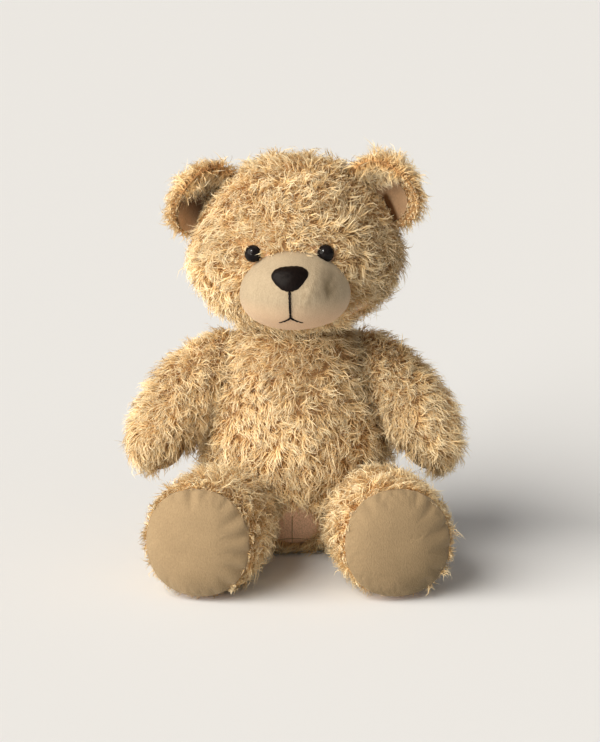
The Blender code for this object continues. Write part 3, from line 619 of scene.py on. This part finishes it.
headTurn = Euler((0, math.radians(head["roll"]), math.radians(head["yaw"])))
headPose = Matrix.Translation(head["place"]) @ headTurn.to_matrix().to_4x4()
headForm = Egg(head["half"], head["cheeks"], head["fullness"], headPose)
muzzlePose = headPose @ Matrix.Translation(muzzle["place"])
muzzleForm = Egg(muzzle["half"], muzzle["jowls"], muzzle["fullness"], muzzlePose)
bodyForm = Egg(body["half"], body["pear"], body["fullness"], Matrix.Translation((0, 0, body["middle"])),
               onFloor=True)
sides = {"left": 1, "right": -1}
armForms, legForms, soleFrames, palms, earForms = {}, {}, {}, {}, {}
for name, side in sides.items():
    angle = math.radians(ears["angle"][name])
    aside, up = side * ears["out"] * math.cos(angle), ears["out"] * math.sin(angle)
    place = (headPose
             @ Matrix.Translation((aside, ears["behind"], up))
             @ Matrix.Rotation(-side * math.radians(ears["turn"][name]), 4, "Z")
             @ Matrix.Rotation(math.radians(ears["nod"]), 4, "X")
             @ Matrix.Rotation(side * (math.pi / 2 - angle), 4, "Y"))
    earForms[name] = Dish(ears["half"], ears["front"], ears["back"], place, cup=ears["cup"],
                          hood=ears["hood"])
    x, y, z = arms["shoulder"]
    shoulder = Vector((side * x, y, z))
    x, y, z = arms["paw"]
    paw = Vector((side * x, y, z))
    along = (paw - shoulder).normalized()
    middle = paw + along * (arms["radius"] - arms["halfLength"])
    half = (arms["radius"], arms["radius"], arms["halfLength"])
    armForms[name] = Egg(half, -arms["taper"], arms["fullness"], toward(middle, middle + along), arms["bow"])
    angles = (np.array([math.radians(arms["palmPolar"])]),
              np.array([math.radians(90 - side * arms["palmForward"])]))
    palms[name] = (armForms[name].point(*angles)[0], normalsOf(armForms[name], *angles)[0])
    turn = math.radians(legs["footTurn"][name])
    level = Vector((side * math.sin(turn), -math.cos(turn), 0)) * legs["reach"]
    along = (level + Vector((0, 0, legs["hipLower"]))).normalized()
    sole = Vector((side * legs["soleOut"][name], -legs["soleForward"], legs["axisUp"]))
    middle = sole - along * legs["reach"] / 2
    half = (legs["radius"], legs["radius"], legs["halfLength"])
    legForms[name] = Egg(half, -legs["taper"], legs["fullness"], toward(middle, middle + along), onFloor=True)
    tilt = math.atan2(legs["hipLower"], legs["reach"])
    soleFrames[name] = (Matrix.Translation(sole) @ Matrix.Rotation(side * turn, 4, "Z")
                        @ Matrix.Rotation(-tilt, 4, "X"))


def makeHead():
    eyeSpots = [headForm.point(*headForm.frontAngles(side * eyes["spacing"] / 2, eyes["up"]))[0]
                for side in sides.values()]
    across, _, up = muzzle["place"]
    faceCentre = np.array(headPose @ Vector((across, -head["half"][1], up + head["faceUp"])))
    rubbedSpot = np.array(headPose @ Vector(head["rubbedAt"]))

    def comb(points):
        away = unit(points - faceCentre)
        down = np.array([0, 0, -1.0])
        near = np.clip(1 - distance(points, faceCentre) / head["faceReach"], 0, 1)[:, None]
        return down * (0.75 - 0.5 * near) + away * (0.25 + 0.8 * near) + 0.55 * drift(points, 0.045, 5)

    def furry(points):
        covered = muzzleForm.holds(points, -1.5 * mm) | bodyForm.holds(points, -4 * mm)
        keep = np.where(covered, 0.0, 1.0)
        length = np.where(muzzleForm.holds(points, 6 * mm), head["shortByMuzzle"], 1.0)
        for spot in eyeSpots:
            far = distance(points, spot)
            keep = np.where(far < eyes["radius"] + 0.5 * mm, 0.0, keep)
            short = head["shortByEyes"]
            length = np.minimum(length, np.clip(short + (far - eyes["radius"]) / (16 * mm), short, 1))
        for form in earForms.values():
            local = placed(form.place.inverted(), points)
            out = np.hypot(local[:, 0] / form.half[0], local[:, 2] / form.half[1])
            ahead = (local[:, 1] < 2 * mm) & (local[:, 1] > -32 * mm)
            short = head["shortByEars"]
            shorter = np.minimum(length, np.clip(short + (out - 1.05) / 0.7, short, 1))
            length = np.where(ahead, shorter, length)
        rubbed = distance(points, rubbedSpot) / head["rubbedRadius"]
        keep *= np.clip(0.3 + 0.7 * (rubbed - 0.7) / 0.5, 0.3, 1)
        length *= np.clip(0.45 + 0.55 * (rubbed - 0.7) / 0.6, 0.45, 1)
        return keep, length

    # Darker, greyer pile on the bear's left side of the head, except low down, and weaker towards the back.
    def darkened(points):
        local = placed(headPose.inverted(), points)
        darkerZone = rise(local[:, 0], *head["darkerAside"]) * rise(local[:, 2], *head["darkerAbove"])
        return darkerZone * np.where(local[:, 1] < head["darkerAhead"], 1.0, 0.4)

    makeCoat("headCoat", headForm, head, comb, furry, (40, 64), "head_skin", darkened=darkened)


def makeBody():
    crotch = bodyForm.point(*bodyForm.frontAngles(0, body["bareUp"] - body["middle"]))[0]

    def comb(points):
        return np.array([0, 0, -1.0]) + 0.6 * drift(points, 0.05, 6)

    def furry(points):
        covered = headForm.holds(points, -4 * mm)
        for name in sides:
            covered |= armForms[name].holds(points, -4 * mm) | legForms[name].holds(points, -4 * mm)
        worn = rise(distance(points, crotch) / body["bareRadius"], 0.85, 0.35)
        under = np.where(points[:, 2] < 3 * mm, 0.15, 1)
        length = 0.45 + 0.55 * worn
        for form in armForms.values():
            length = np.where(form.holds(points, 5 * mm), 0.5 * length, length)
        return np.where(covered, 0.0, 1.0) * worn * under, length

    # Painted shade: the pile on the bear's left of the upper chest, under the head, is made darker and
    # greyer. A soft patch low on the bear's right of the belly is made lighter.
    def darkened(points):
        x, z = points[:, 0], points[:, 2]
        darkerZone = rise(x, *body["darkerAside"]) * rise(z, *body["darkerAbove"])
        return 0.7 * darkerZone - 0.8 * patchAt(x, z, body["lighterAt"], body["lighterSize"])

    makeCoat("bodyCoat", bodyForm, body, comb, furry, (40, 56), "body_skin", darkened=darkened)


def makeArms():
    for name, side in sides.items():
        palm = palms[name][0]
        form = armForms[name]
        axis = np.array(form.place.to_3x3().col[2])
        coat = dict(arms, seed=arms["seed"] + side)

        def comb(points):
            return 0.8 * axis + np.array([0, 0, -0.6]) + 0.55 * drift(points, 0.045, 8 + side)

        def furry(points):
            covered = bodyForm.holds(points, -3 * mm) | headForm.holds(points, -3 * mm)
            worn = rise(distance(points, palm) / arms["palmRadius"], 0.9, 0.25)
            length = (0.6 + 0.4 * worn) * np.where(bodyForm.holds(points, 6 * mm), 0.5, 1)
            return np.where(covered, 0.0, 1.0) * worn, length

        # Darker pile round the palm, fading out over the given number of palm radii.
        def darkened(points):
            return np.clip(arms["darkerTo"] - distance(points, palm) / arms["palmRadius"], 0, 1)

        makeCoat("armCoat." + name, form, coat, comb, furry, (28, 32), "arm_skin_" + name,
                 darkened=darkened)


def makeLegs():
    endPolar = math.acos(legs["reach"] / 2 / legs["halfLength"])
    for name, side in sides.items():
        form = legForms[name]
        axis = np.array(form.place.to_3x3().col[2])
        sole = np.array(soleFrames[name].translation)
        coat = dict(legs, seed=legs["seed"] + side)

        def comb(points):
            toSole = -((points - sole) @ axis)
            near = np.clip(1 - toSole / legs["combedToSole"], 0, 1)[:, None]
            outward = unit(points - sole + axis * toSole[:, None])
            down = np.array([0, 0, -0.45])
            return ((0.45 + 0.5 * near) * axis + (0.35 + 0.35 * near) * outward + (1 - near) * down
                    + 0.5 * drift(points, 0.045, 12 + side))

        def furry(points):
            covered = bodyForm.holds(points, -3 * mm)
            toSole = -((points - sole) @ axis)
            up, back = legs["thinUnderSole"]
            thin = np.where(points[:, 2] < legs["thinUnder"], 0.25, 1)
            thin = thin * np.where((points[:, 2] < up) & (toSole < back), 0.12, 1)
            length = np.clip(0.62 + toSole / (35 * mm), 0.62, 1)
            return np.where(covered, 0.0, 1.0) * thin, length

        makeCoat("legCoat." + name, form, coat, comb, furry, (30, 48), "leg_skin_" + name,
                 polarRange=(endPolar, math.pi))


makeHead()
makeBody()
makeArms()
makeLegs()
print("coats grown")


velour = {
    # The lower muzzle colour is a pinker tint, lightened as painted bounce light.
    "muzzle": (0.45, 0.360, 0.250), "muzzleLowTintAndLight": (0.72, 0.47, 0.30), "sole": (0.385, 0.275, 0.160),
    # The smudge colour is laid on as dirt and as painted shade; the deep lining colour is painted shade.
    "smudgeAndShade": (0.13, 0.095, 0.050), "lining": (0.92, 0.62, 0.38), "liningShade": (0.10, 0.040, 0.012),
    "thread": (0.004, 0.0022, 0.0018), "seam": (0.50, 0.34, 0.20),
}


# Short cut pile: a fine nap with broad soft blotches. The attribute "stain" lays the extra colour over it, as
# dirt and as painted shade, and "worn" brushes it up into fine upright ridges.
def velourFinish(name, light, dark, extra=None):
    made, tree, shader = finish(name, 0.88, sheen=0.35, sheenTint=(1.0, 0.9, 0.72), specular=0.15)
    blotch = noise(tree, 70, 5.0)
    colour = ramp(tree, blotch, [(0.35, light), (0.7, dark)])
    nap = noise(tree, 1500, 2.0, stretch=(1, 1, 0.5))
    rubbed = noise(tree, 460, 4.0, stretch=(1, 1, 0.28))
    worn = attribute(tree, "worn")
    if extra:
        colour = blend(tree, attribute(tree, "stainAndShade"), colour, extra)
    grain = ramp(tree, nap, [(0.3, (0.87, 0.86, 0.84)), (0.7, (1.06, 1.06, 1.05))])
    ridges = ramp(tree, rubbed, [(0.35, (0.80, 0.78, 0.74)), (0.65, (1.10, 1.10, 1.10))])
    colour = blend(tree, worn, colour, ridges, "MULTIPLY")
    tree.links.new(blend(tree, 1.0, colour, grain, "MULTIPLY"), shader.inputs["Base Color"])
    height = node(tree, "ShaderNodeMath", operation="MULTIPLY_ADD")
    for socket, source in zip(height.inputs, (rubbed, worn, nap)):
        tree.links.new(source, socket)
    bump(tree, shader, height.outputs[0], 0.6, 0.0006)
    return made


# A closed form: points, triangles, its place on the map for each corner, and the angles.
def closedGrid(form, rows, columns):
    points, triangles, uv, polars, arounds = skinOf(form, rows, columns)
    u = (uv[:, 0] - bakeMap["cloth"]) / bakeMap["clothWide"]
    uv[:, 0] = u * bakeMap["inside"] + bakeMap["margin"]
    row, column = np.divmod(np.arange(len(points)), columns + 1)
    column[(column == columns) | (row == 0) | (row == rows)] = 0
    welded = (row * (columns + 1) + column)[triangles]
    whole = (welded[:, 0] != welded[:, 1]) & (welded[:, 1] != welded[:, 2]) & (welded[:, 2] != welded[:, 0])
    used, kept = np.unique(welded[whole], return_inverse=True)
    corners = uv[triangles[whole].ravel()]
    return points[used], kept.reshape(-1, 3), corners, polars[used], arounds[used]


# Blows a closed cloth form up between its held points with Blender's cloth, worked out 8 times as large.
def swell(points, triangles, held, pressure, slack, frames, most):
    big = 8.0
    mesh = bpy.data.meshes.new("swelling")
    mesh.from_pydata([tuple(p) for p in points * big], [], [tuple(int(i) for i in t) for t in triangles])
    bag = bpy.data.objects.new("swelling", mesh)
    scene.collection.objects.link(bag)
    pins = bag.vertex_groups.new(name="held")
    pins.add([int(i) for i in np.flatnonzero(held)], 1.0, "REPLACE")
    step = bag.modifiers.new("cloth", "CLOTH")
    facts = step.settings
    facts.quality = 6
    facts.mass = 0.25
    facts.tension_stiffness = 18
    facts.compression_stiffness = 14
    facts.shear_stiffness = 6
    facts.bending_stiffness = 0.8
    facts.shrink_min = -slack
    facts.use_pressure = True
    facts.uniform_pressure_force = pressure
    facts.vertex_group_mass = "held"
    facts.effector_weights.gravity = 0
    step.collision_settings.use_collision = False
    step.point_cache.frame_start = 1
    step.point_cache.frame_end = frames
    for frameNumber in range(1, frames + 1):
        scene.frame_set(frameNumber)
    evaluated = bag.evaluated_get(bpy.context.evaluated_depsgraph_get())
    shape = np.empty(3 * len(points))
    evaluated.data.vertices.foreach_get("co", shape)
    bpy.data.objects.remove(bag)
    bpy.data.meshes.remove(mesh)
    scene.frame_set(1)
    move = shape.reshape(-1, 3) / big - points
    far = np.maximum(np.linalg.norm(move, axis=1, keepdims=True), 1e-9)
    return points + move * np.minimum(1, most / far)


def makeMuzzle():
    points, triangles, uv, polars, arounds = closedGrid(muzzleForm, muzzle["rows"], muzzle["columns"])
    local = placed(muzzlePose.inverted(), points)
    x, z = local[:, 0], local[:, 2]
    ahead = np.clip(-local[:, 1] / (8 * mm), 0, 1)
    ridge = patchAt(x - muzzle["ridgeSlant"] * z, z, muzzle["ridgeAt"], muzzle["ridgeSize"])
    hollow = patchAt(x, z, muzzle["hollowAt"], muzzle["hollowSize"])
    # A dirty smudge over the hollow, darkened further as painted shade in it.
    smudgeAndShade = patchAt(x, z, muzzle["smudgeShadeAt"], muzzle["smudgeShadeSize"])
    lumps = drift(points, muzzle["lumpWide"], 45)[:, 0] * np.clip(np.abs(x) / (12 * mm) - 0.6, 0, 1)
    relief = muzzle["ridge"] * ridge - muzzle["hollow"] * hollow + muzzle["lumps"] * lumps
    points = points + normalsOf(muzzleForm, polars, arounds) * (relief * ahead)[:, None]
    # The underside turns to the lower colour: a pinker tint, lightened as painted bounce light.
    low = 1 - np.clip((z / muzzle["half"][2] + 1) / 0.9, 0, 1)
    nap = np.clip(0.75 + 0.3 * drift(points, muzzle["napWide"], 44)[:, 0], 0, 1)
    made = velourFinish("cream velour", velour["muzzle"], tuple(0.94 * c for c in velour["muzzle"]),
                        velour["smudgeAndShade"])
    tree = made.node_tree
    shader = tree.nodes["Principled BSDF"]
    before = shader.inputs["Base Color"].links[0].from_socket
    colour = blend(tree, attribute(tree, "low"), before, velour["muzzleLowTintAndLight"])
    tree.links.new(colour, shader.inputs["Base Color"])
    worn = 0.25 + 0.9 * ridge + 0.4 * smudgeAndShade
    piece = newPiece("muzzleCover", points, triangles, [made], uv=uv,
                     attributes={"stainAndShade": smudgeAndShade * nap, "low": low, "worn": worn})
    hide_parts("muzzle_cover")


def muzzleSpot(across, up, stand):
    angles = muzzleForm.frontAngles(across, up)
    return Vector(muzzleForm.point(*angles)[0] + normalsOf(muzzleForm, *angles)[0] * stand)


nose = {
    "half": (11.4 * mm, 8.8 * mm), "thickness": 3.0 * mm, "aside": -1.0 * mm, "up": 12.6 * mm, "point": 0.085,
    "roll": 5.0, "threadPitch": 0.55 * mm, "threadDepth": 0.16 * mm, "ragged": 0.14 * mm, "rows": 48,
    "columns": 160,
}
mouth = {"drop": 15.0 * mm, "halfWidth": 7.5 * mm, "curl": 4.2 * mm, "radius": 0.88 * mm, "stitch": 2.6 * mm,
         "slant": 0.3 * mm, "intoNose": 1.0 * mm, "longer": 1.2 * mm, "thinnest": 0.12 * mm}


def threadFinish():
    made, tree, shader = finish("black thread", 0.42, specular=0.10)
    fibre = noise(tree, 900, 2.0, stretch=(1, 1, 0.15))
    colour = ramp(tree, fibre, [(0.3, velour["thread"]), (0.8, tuple(2.4 * c for c in velour["thread"]))])
    tree.links.new(colour, shader.inputs["Base Color"])
    bump(tree, shader, fibre, 0.5, 0.0002)
    return made


threadMaterial = threadFinish()


def makeNose():
    spot = muzzleSpot(nose["aside"], nose["up"], 0)
    ahead = muzzleSpot(nose["aside"], nose["up"], 1) - spot
    tilt = math.atan2(ahead.z, -ahead.y)
    place = (Matrix.Translation(spot) @ Matrix.Rotation(math.radians(head["yaw"]), 4, "Z")
             @ Matrix.Rotation(-tilt, 4, "X") @ Matrix.Rotation(-math.radians(nose["roll"]), 4, "Y"))

    def stitched(local, polar, around):
        # Upright satin threads side by side; their ends make the outline slightly ragged.
        thread = local[..., 0] / nose["threadPitch"]
        out = np.clip(np.sin(polar), 0, 1)
        groove = np.abs(np.sin(math.pi * thread)) ** 0.6
        front = (np.cos(polar) > 0) * (1 - out ** 8)
        local[..., 1] += nose["threadDepth"] * (1 - groove) * front
        local[..., 2] += nose["ragged"] * np.sin(7.3 * np.floor(thread)) * out ** 6 * np.sign(local[..., 2])
        return local

    form = Dish(nose["half"], nose["thickness"], nose["thickness"], place, cup=-0.5 * nose["thickness"],
                pointDown=nose["point"], shape=stitched)
    points, triangles, uv = closedGrid(form, nose["rows"], nose["columns"])[:3]
    piece = newPiece("noseEmbroidery", points, triangles, [threadMaterial], uv=uv)
    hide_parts("nose")


# Triangles between rings of points that have the same number of points each.
def ringFaces(rings, around):
    faces = []
    for i in range(rings - 1):
        for k in range(around):
            a, b = i * around + k, i * around + (k + 1) % around
            faces += [(a, b, b + around), (a, b + around, a + around)]
    return faces


# A round thread through the route, with its own radius at each point.
def strand(route, radii, around=8):
    points = []
    for i, point in enumerate(route):
        ahead = route[min(i + 1, len(route) - 1)] - route[max(i - 1, 0)]
        turn = ahead.to_track_quat("Z", "Y").to_matrix()
        for k in range(around):
            a = 2 * math.pi * k / around
            points.append(tuple(point + turn @ Vector((math.cos(a), math.sin(a), 0)) * radii[i]))
    last = (len(route) - 1) * around
    triangles = ringFaces(len(route), around)
    triangles += [(0, k + 1, k) for k in range(1, around - 1)]
    triangles += [(last, last + k, last + k + 1) for k in range(1, around - 1)]
    return points, triangles


def joined(shapes):
    points, triangles = [], []
    for more, faces in shapes:
        triangles += [tuple(i + len(points) for i in face) for face in faces]
        points += more
    return points, triangles


# Back stitches along a line: each is a short spindle that dips into the cloth at its ends.
def stitches(spotOf, stretch, radius, taper=0.0, overlap=0.18):
    threads = []
    count = max(2, round(stretch / mouth["stitch"]))
    for n in range(count):
        steps = [(n - overlap + (1 + 2 * overlap) * k / 8) / count for k in range(9)]
        steps = [min(max(t, 0), 1) for t in steps]
        full = [0.45 + 0.55 * math.sin(math.pi * k / 8) ** 0.5 for k in range(9)]
        route = [spotOf(t, radius * (2.2 * w - 1.5)) for t, w in zip(steps, full)]
        radii = [max(radius * w * (1 - taper * t), mouth["thinnest"]) for t, w in zip(steps, full)]
        threads.append(strand(route, radii))
    return joined(threads)


def makeMouth():
    top = nose["up"] - nose["half"][1] * (1 + nose["point"]) + mouth["intoNose"]
    foot = top - mouth["drop"] - mouth["longer"]

    def downward(t, stand):
        return muzzleSpot(nose["aside"] + mouth["slant"] * t, top + (foot - top) * t, stand)

    def sideways(way):
        return lambda t, stand: muzzleSpot(nose["aside"] + mouth["slant"] + way * mouth["halfWidth"] * t,
                                           foot - mouth["curl"] * t ** 0.75 * (1.25 - 0.25 * t), stand)

    lines = [stitches(downward, mouth["drop"], mouth["radius"], 0.2)]
    for way in (-1, 1):
        lines.append(stitches(sideways(way), mouth["halfWidth"] * 1.2, mouth["radius"] * 0.8, 0.6))
    points, triangles = joined(lines)
    piece = newPiece("mouthStitch", points, triangles, [threadMaterial])
    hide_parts("mouth_stitch")


def eyeFinish():
    made, tree, shader = finish("black gloss plastic", 0.06, specular=0.10)
    scuff = noise(tree, 320, 6.0)
    tree.links.new(ramp(tree, scuff, [(0.4, (0.004, 0.003, 0.003)), (0.8, (0.012, 0.010, 0.009))]),
                   shader.inputs["Base Color"])
    return made


# A domed eye with a rolled rim that sits in the pile.
def makeEyes():
    gloss = eyeFinish()
    segments, steps = 40, 14
    wide, seat = eyes["domeRadius"], eyes["proud"]
    above = eyes["domeHeight"] - eyes["rim"]
    profile = [(0, seat), (0.8 * wide, seat), (0.97 * wide, seat + 0.1 * mm)]
    profile += [(wide * math.cos(a), seat + eyes["rim"] + above * math.sin(a))
                for a in np.linspace(0, math.pi / 2, steps)]
    for name, side in sides.items():
        angles = headForm.frontAngles(side * eyes["spacing"] / 2, eyes["up"])
        spot = Vector(headForm.point(*angles)[0])
        out = Vector(normalsOf(headForm, *angles)[0])
        place = Matrix.Translation(spot) @ out.to_track_quat("Z", "Y").to_matrix().to_4x4()
        points = []
        for radius, height in profile:
            for k in range(segments):
                a = 2 * math.pi * k / segments
                points.append(tuple(place @ Vector((radius * math.cos(a), radius * math.sin(a), height))))
        piece = newPiece("safetyEye." + name, points, ringFaces(len(profile), segments), [gloss])
        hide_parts("eye_" + name)
        shiny.objects.link(piece)


soleCloth = {
    "radius": 34.5 * mm, "narrower": 1.0 * mm, "dome": 9.0 * mm, "thickness": 1.6 * mm, "rows": 64,
    "columns": 160, "square": 0.012, "overFloor": 1.0 * mm,
    # Each dart's angle on the sole and its depth
    "darts": {"left": ((18, 3.2), (48, 2.6), (-8, 2.0), (-35, 1.8), (128, 1.3)),
              "right": ((14, 2.4), (-8, 3.0), (-28, 2.4), (98, 2.2), (36, 2.4), (-50, 1.8))},
    "dartDepth": 2.4 * mm, "dartWidth": 4.5, "puffAside": 11, "puffWidth": 6,
    "heldFrom": 86.0, "pressure": 4.0, "slack": 0.035, "frames": 20, "most": 5.0 * mm,
    # Painted shade: the whole sole a little darker, and much darker towards the lower right, where it turns
    # from the light.
    "paintedShade": {"left": (0.18, 0.60), "right": (0.06, 0.38)},  # all over, and more towards the lower right
    "dirtUp": 24.0 * mm, "footDirt": 0.30,
}


def makeSoles():
    made = velourFinish("tan velour", velour["sole"], tuple(0.92 * c for c in velour["sole"]),
                        velour["smudgeAndShade"])
    for name, side in sides.items():

        def gathered(local, polar, around, name=name):
            out = np.sin(polar)
            square = 1 - soleCloth["square"] * np.cos(4 * around) * out
            local[..., 0] *= square
            local[..., 2] *= square
            edge = np.clip((out - 0.55) / 0.45, 0, 1) ** 2 * (np.cos(polar) > -0.2)
            for angle, depth in soleCloth["darts"][name]:
                off = np.degrees(np.angle(np.exp(1j * (around - math.radians(angle)))))
                crease = np.exp(-(off / soleCloth["dartWidth"]) ** 2)
                puff = np.exp(-((np.abs(off) - soleCloth["puffAside"]) / soleCloth["puffWidth"]) ** 2)
                pull = soleCloth["dartDepth"] * depth / 2.5 * edge
                local[..., 1] += pull * (crease - 0.35 * puff)
            return local

        form = Dish((soleCloth["radius"] - soleCloth["narrower"], soleCloth["radius"]), soleCloth["dome"],
                    soleCloth["thickness"], soleFrames[name], shape=gathered)
        points, triangles, uv, polars, _ = closedGrid(form, soleCloth["rows"], soleCloth["columns"])
        started = time.time()
        points = swell(points, triangles, polars > math.radians(soleCloth["heldFrom"]), soleCloth["pressure"],
                       soleCloth["slack"], soleCloth["frames"], soleCloth["most"])
        print("sole", name, "swelled in", round(time.time() - started, 1), "s")
        points[:, 2] = np.maximum(points[:, 2], soleCloth["overFloor"])
        low = np.clip(1 - points[:, 2] / soleCloth["dirtUp"], 0, 1)
        local = placed(soleFrames[name].inverted(), points) / soleCloth["radius"]
        lowRight = np.clip(0.5 + 0.36 * (local[:, 0] - local[:, 2]), 0, 1) ** 2
        blotch = np.clip(0.5 + 0.5 * drift(points, 0.02, 60 + side)[:, 0], 0, 1)
        # Dirt near the floor, with painted shade over the whole sole and more towards the lower right.
        everywhere, more = soleCloth["paintedShade"][name]
        stainAndShade = soleCloth["footDirt"] * low * blotch + everywhere + more * lowRight * (0.8 + 0.2 * blotch)
        piece = newPiece("soleCloth." + name, points, triangles, [made], uv=uv,
                         attributes={"stainAndShade": np.clip(stainAndShade, 0, 1)})
        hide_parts("sole_" + name)


def makePalms():
    made = velourFinish("worn palm velour", tuple(0.62 * c for c in velour["sole"]),
                        tuple(0.5 * c for c in velour["sole"]))
    radius, stand = arms["palmRadius"], arms["palmStand"]
    for name in sides:
        centre, out = palms[name]
        place = (Matrix.Translation(Vector(centre + out * stand))
                 @ Vector(out).to_track_quat("Z", "Y").to_matrix().to_4x4()
                 @ Matrix.Rotation(-math.pi / 2, 4, "X"))
        form = Dish((radius, radius), stand, stand, place, cup=-radius ** 2 / (2 * arms["radius"]))
        points, triangles, uv = closedGrid(form, 24, 64)[:3]
        piece = newPiece("palmPatch." + name, points, triangles, [made], uv=uv)
        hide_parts("paw_pad_" + name)


# How far the ear's front lies behind its rim's plane at a place on it.
def dished(x, z):
    wide, high = ears["half"]
    return -ears["cup"] * ((x / wide) ** 2 + (z / high) ** 2) - ears["hood"] * np.maximum(0, z / high) ** 2


def makeEars():
    # The lining's deep colour is painted shade, laid on by its stain.
    lining = velourFinish("brown ear velour", velour["lining"], tuple(0.8 * c for c in velour["lining"]),
                          velour["liningShade"])
    radius = ears["liningRadius"]
    for name, side in sides.items():
        form = earForms[name]
        coat = dict(ears, seed=ears["seed"] + side)
        middle = np.array(form.place.translation)
        inverse = form.place.inverted()
        aside, up = side * ears["liningAside"][name], -ears["liningDown"][name]
        liningMiddle = np.array(form.place @ Vector((aside, dished(aside, up), up)))

        # The place on the ear, whether it is on the front, and whether it is on the flap beside the lining
        def zones(points):
            local = placed(inverse, points)
            onFront = local[:, 1] < dished(local[:, 0], local[:, 2]) + ears["frontSkin"]
            flap = onFront & (side * local[:, 0] < ears["flapFrom"][name])
            return local, onFront, flap

        def comb(points):
            flap = zones(points)[2]
            outward = 0.8 * unit(points - middle) + np.array([0, 0, -0.35])
            inward = 1.1 * unit(liningMiddle - points)
            return np.where(flap[:, None], inward, outward) + 0.5 * drift(points, 0.03, 30 + side)

        def furry(points):
            local, onFront, flap = zones(points)
            bare = onFront & (np.hypot(local[:, 0] - aside, local[:, 2] - up) < radius - 1 * mm)
            inHead = headForm.holds(points, -1 * mm)
            length = np.where(flap, ears["flapLonger"], np.where(onFront, ears["frontShorter"], 1.0))
            top = ~onFront & (side * local[:, 0] < 0) & (local[:, 2] > ears["topFrom"])
            length = np.where(top, ears["topLonger"][name], length)
            return np.where(bare | inHead, 0.0, 1.0), length

        makeCoat("earCoat." + name, form, coat, comb, furry, (32, 48), "ear_back_" + name)

        # The lining follows the dish of the ear, with a fold across it.
        def follow(local, polar, around):
            x, z = local[..., 0] + aside, local[..., 2] + up
            stand = ears["liningStand"] - np.where(np.cos(polar) > 0, 0, ears["liningThick"])
            fold = np.exp(-((side * x - ears["crease"] - 0.2 * z) / ears["creaseWidth"]) ** 2)
            deep = ears["creaseDepth"][name] * fold * np.clip(1.4 - 1.4 * np.sin(polar), 0, 1)
            return np.stack([x, dished(x, z) - stand + deep, z], axis=-1)

        patch = Dish((radius, radius), 0.0, 0.0, form.place, shape=follow)
        points, triangles, uv = closedGrid(patch, 24, 64)[:3]
        local = placed(inverse, points)
        x, z = side * local[:, 0], local[:, 2]
        # The stain is painted shade: on the right ear dark up to the fold and fading past it; on the left ear
        # half shade all over and full shade low on the lining.
        if name == "right":
            stainAndShade = 0.8 * (1 - rise(x, ears["crease"], 12 * mm))
        else:
            stainAndShade = np.maximum(rise(-z, 0.5 * mm, 4 * mm) * rise(x, 0, 4 * mm), 0.5)
        piece = newPiece("earLining." + name, points, triangles, [lining], uv=uv, attributes={"stainAndShade": stainAndShade})
        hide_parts("ear_lining_" + name)


# The body's front seam and the cross seam between the legs, drawn in over the worn cloth.
def makeCrotchSeams():
    made = velourFinish("seam thread", velour["seam"], tuple(0.8 * c for c in velour["seam"]))

    def spot(across, up):
        angles = bodyForm.frontAngles(across, up - body["middle"])
        return Vector(bodyForm.point(*angles)[0] + normalsOf(bodyForm, *angles)[0] * seams["stand"])

    top, foot = seams["top"], seams["foot"]
    upright = [spot(seams["aside"], top + (foot - top) * t) for t in np.linspace(0, 1, 25)]
    level = [spot(t * seams["halfWidth"], seams["up"] - seams["sag"] * t ** 2)
             for t in np.linspace(-1, 1, 25)]
    radii = [seams["threadRadius"] * (1 + 0.15 * math.sin(9 * k)) for k in range(25)]
    points, triangles = joined([strand(upright, radii), strand(level, radii)])
    piece = newPiece("crotchSeams", points, triangles, [made])


makeMuzzle()
makeNose()
makeMouth()
makeEyes()
makeSoles()
makePalms()
makeEars()
makeCrotchSeams()
print("face, soles, palms and ears made")


def innerFinish(name, light, dark, scale, roughness):
    made, tree, shader = finish(name, roughness)
    fibre = noise(tree, scale, 5.0)
    tree.links.new(ramp(tree, fibre, [(0.35, dark), (0.65, light)]), shader.inputs["Base Color"])
    bump(tree, shader, fibre, 0.5, 0.0006)
    return made


stuffing = innerFinish("polyester stuffing", (0.84, 0.82, 0.78), (0.68, 0.66, 0.62), 240, 0.95)
nylon = innerFinish("white nylon", (0.76, 0.76, 0.73), (0.70, 0.70, 0.67), 500, 0.5)
for name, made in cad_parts.items():
    if made.hide_render:
        continue
    made.data.materials.clear()
    made.data.materials.append(nylon if "washer" in name else stuffing)
    made.data.polygons.foreach_set("material_index", np.zeros(len(made.data.polygons), dtype=np.int32))
print("inner pieces finished")
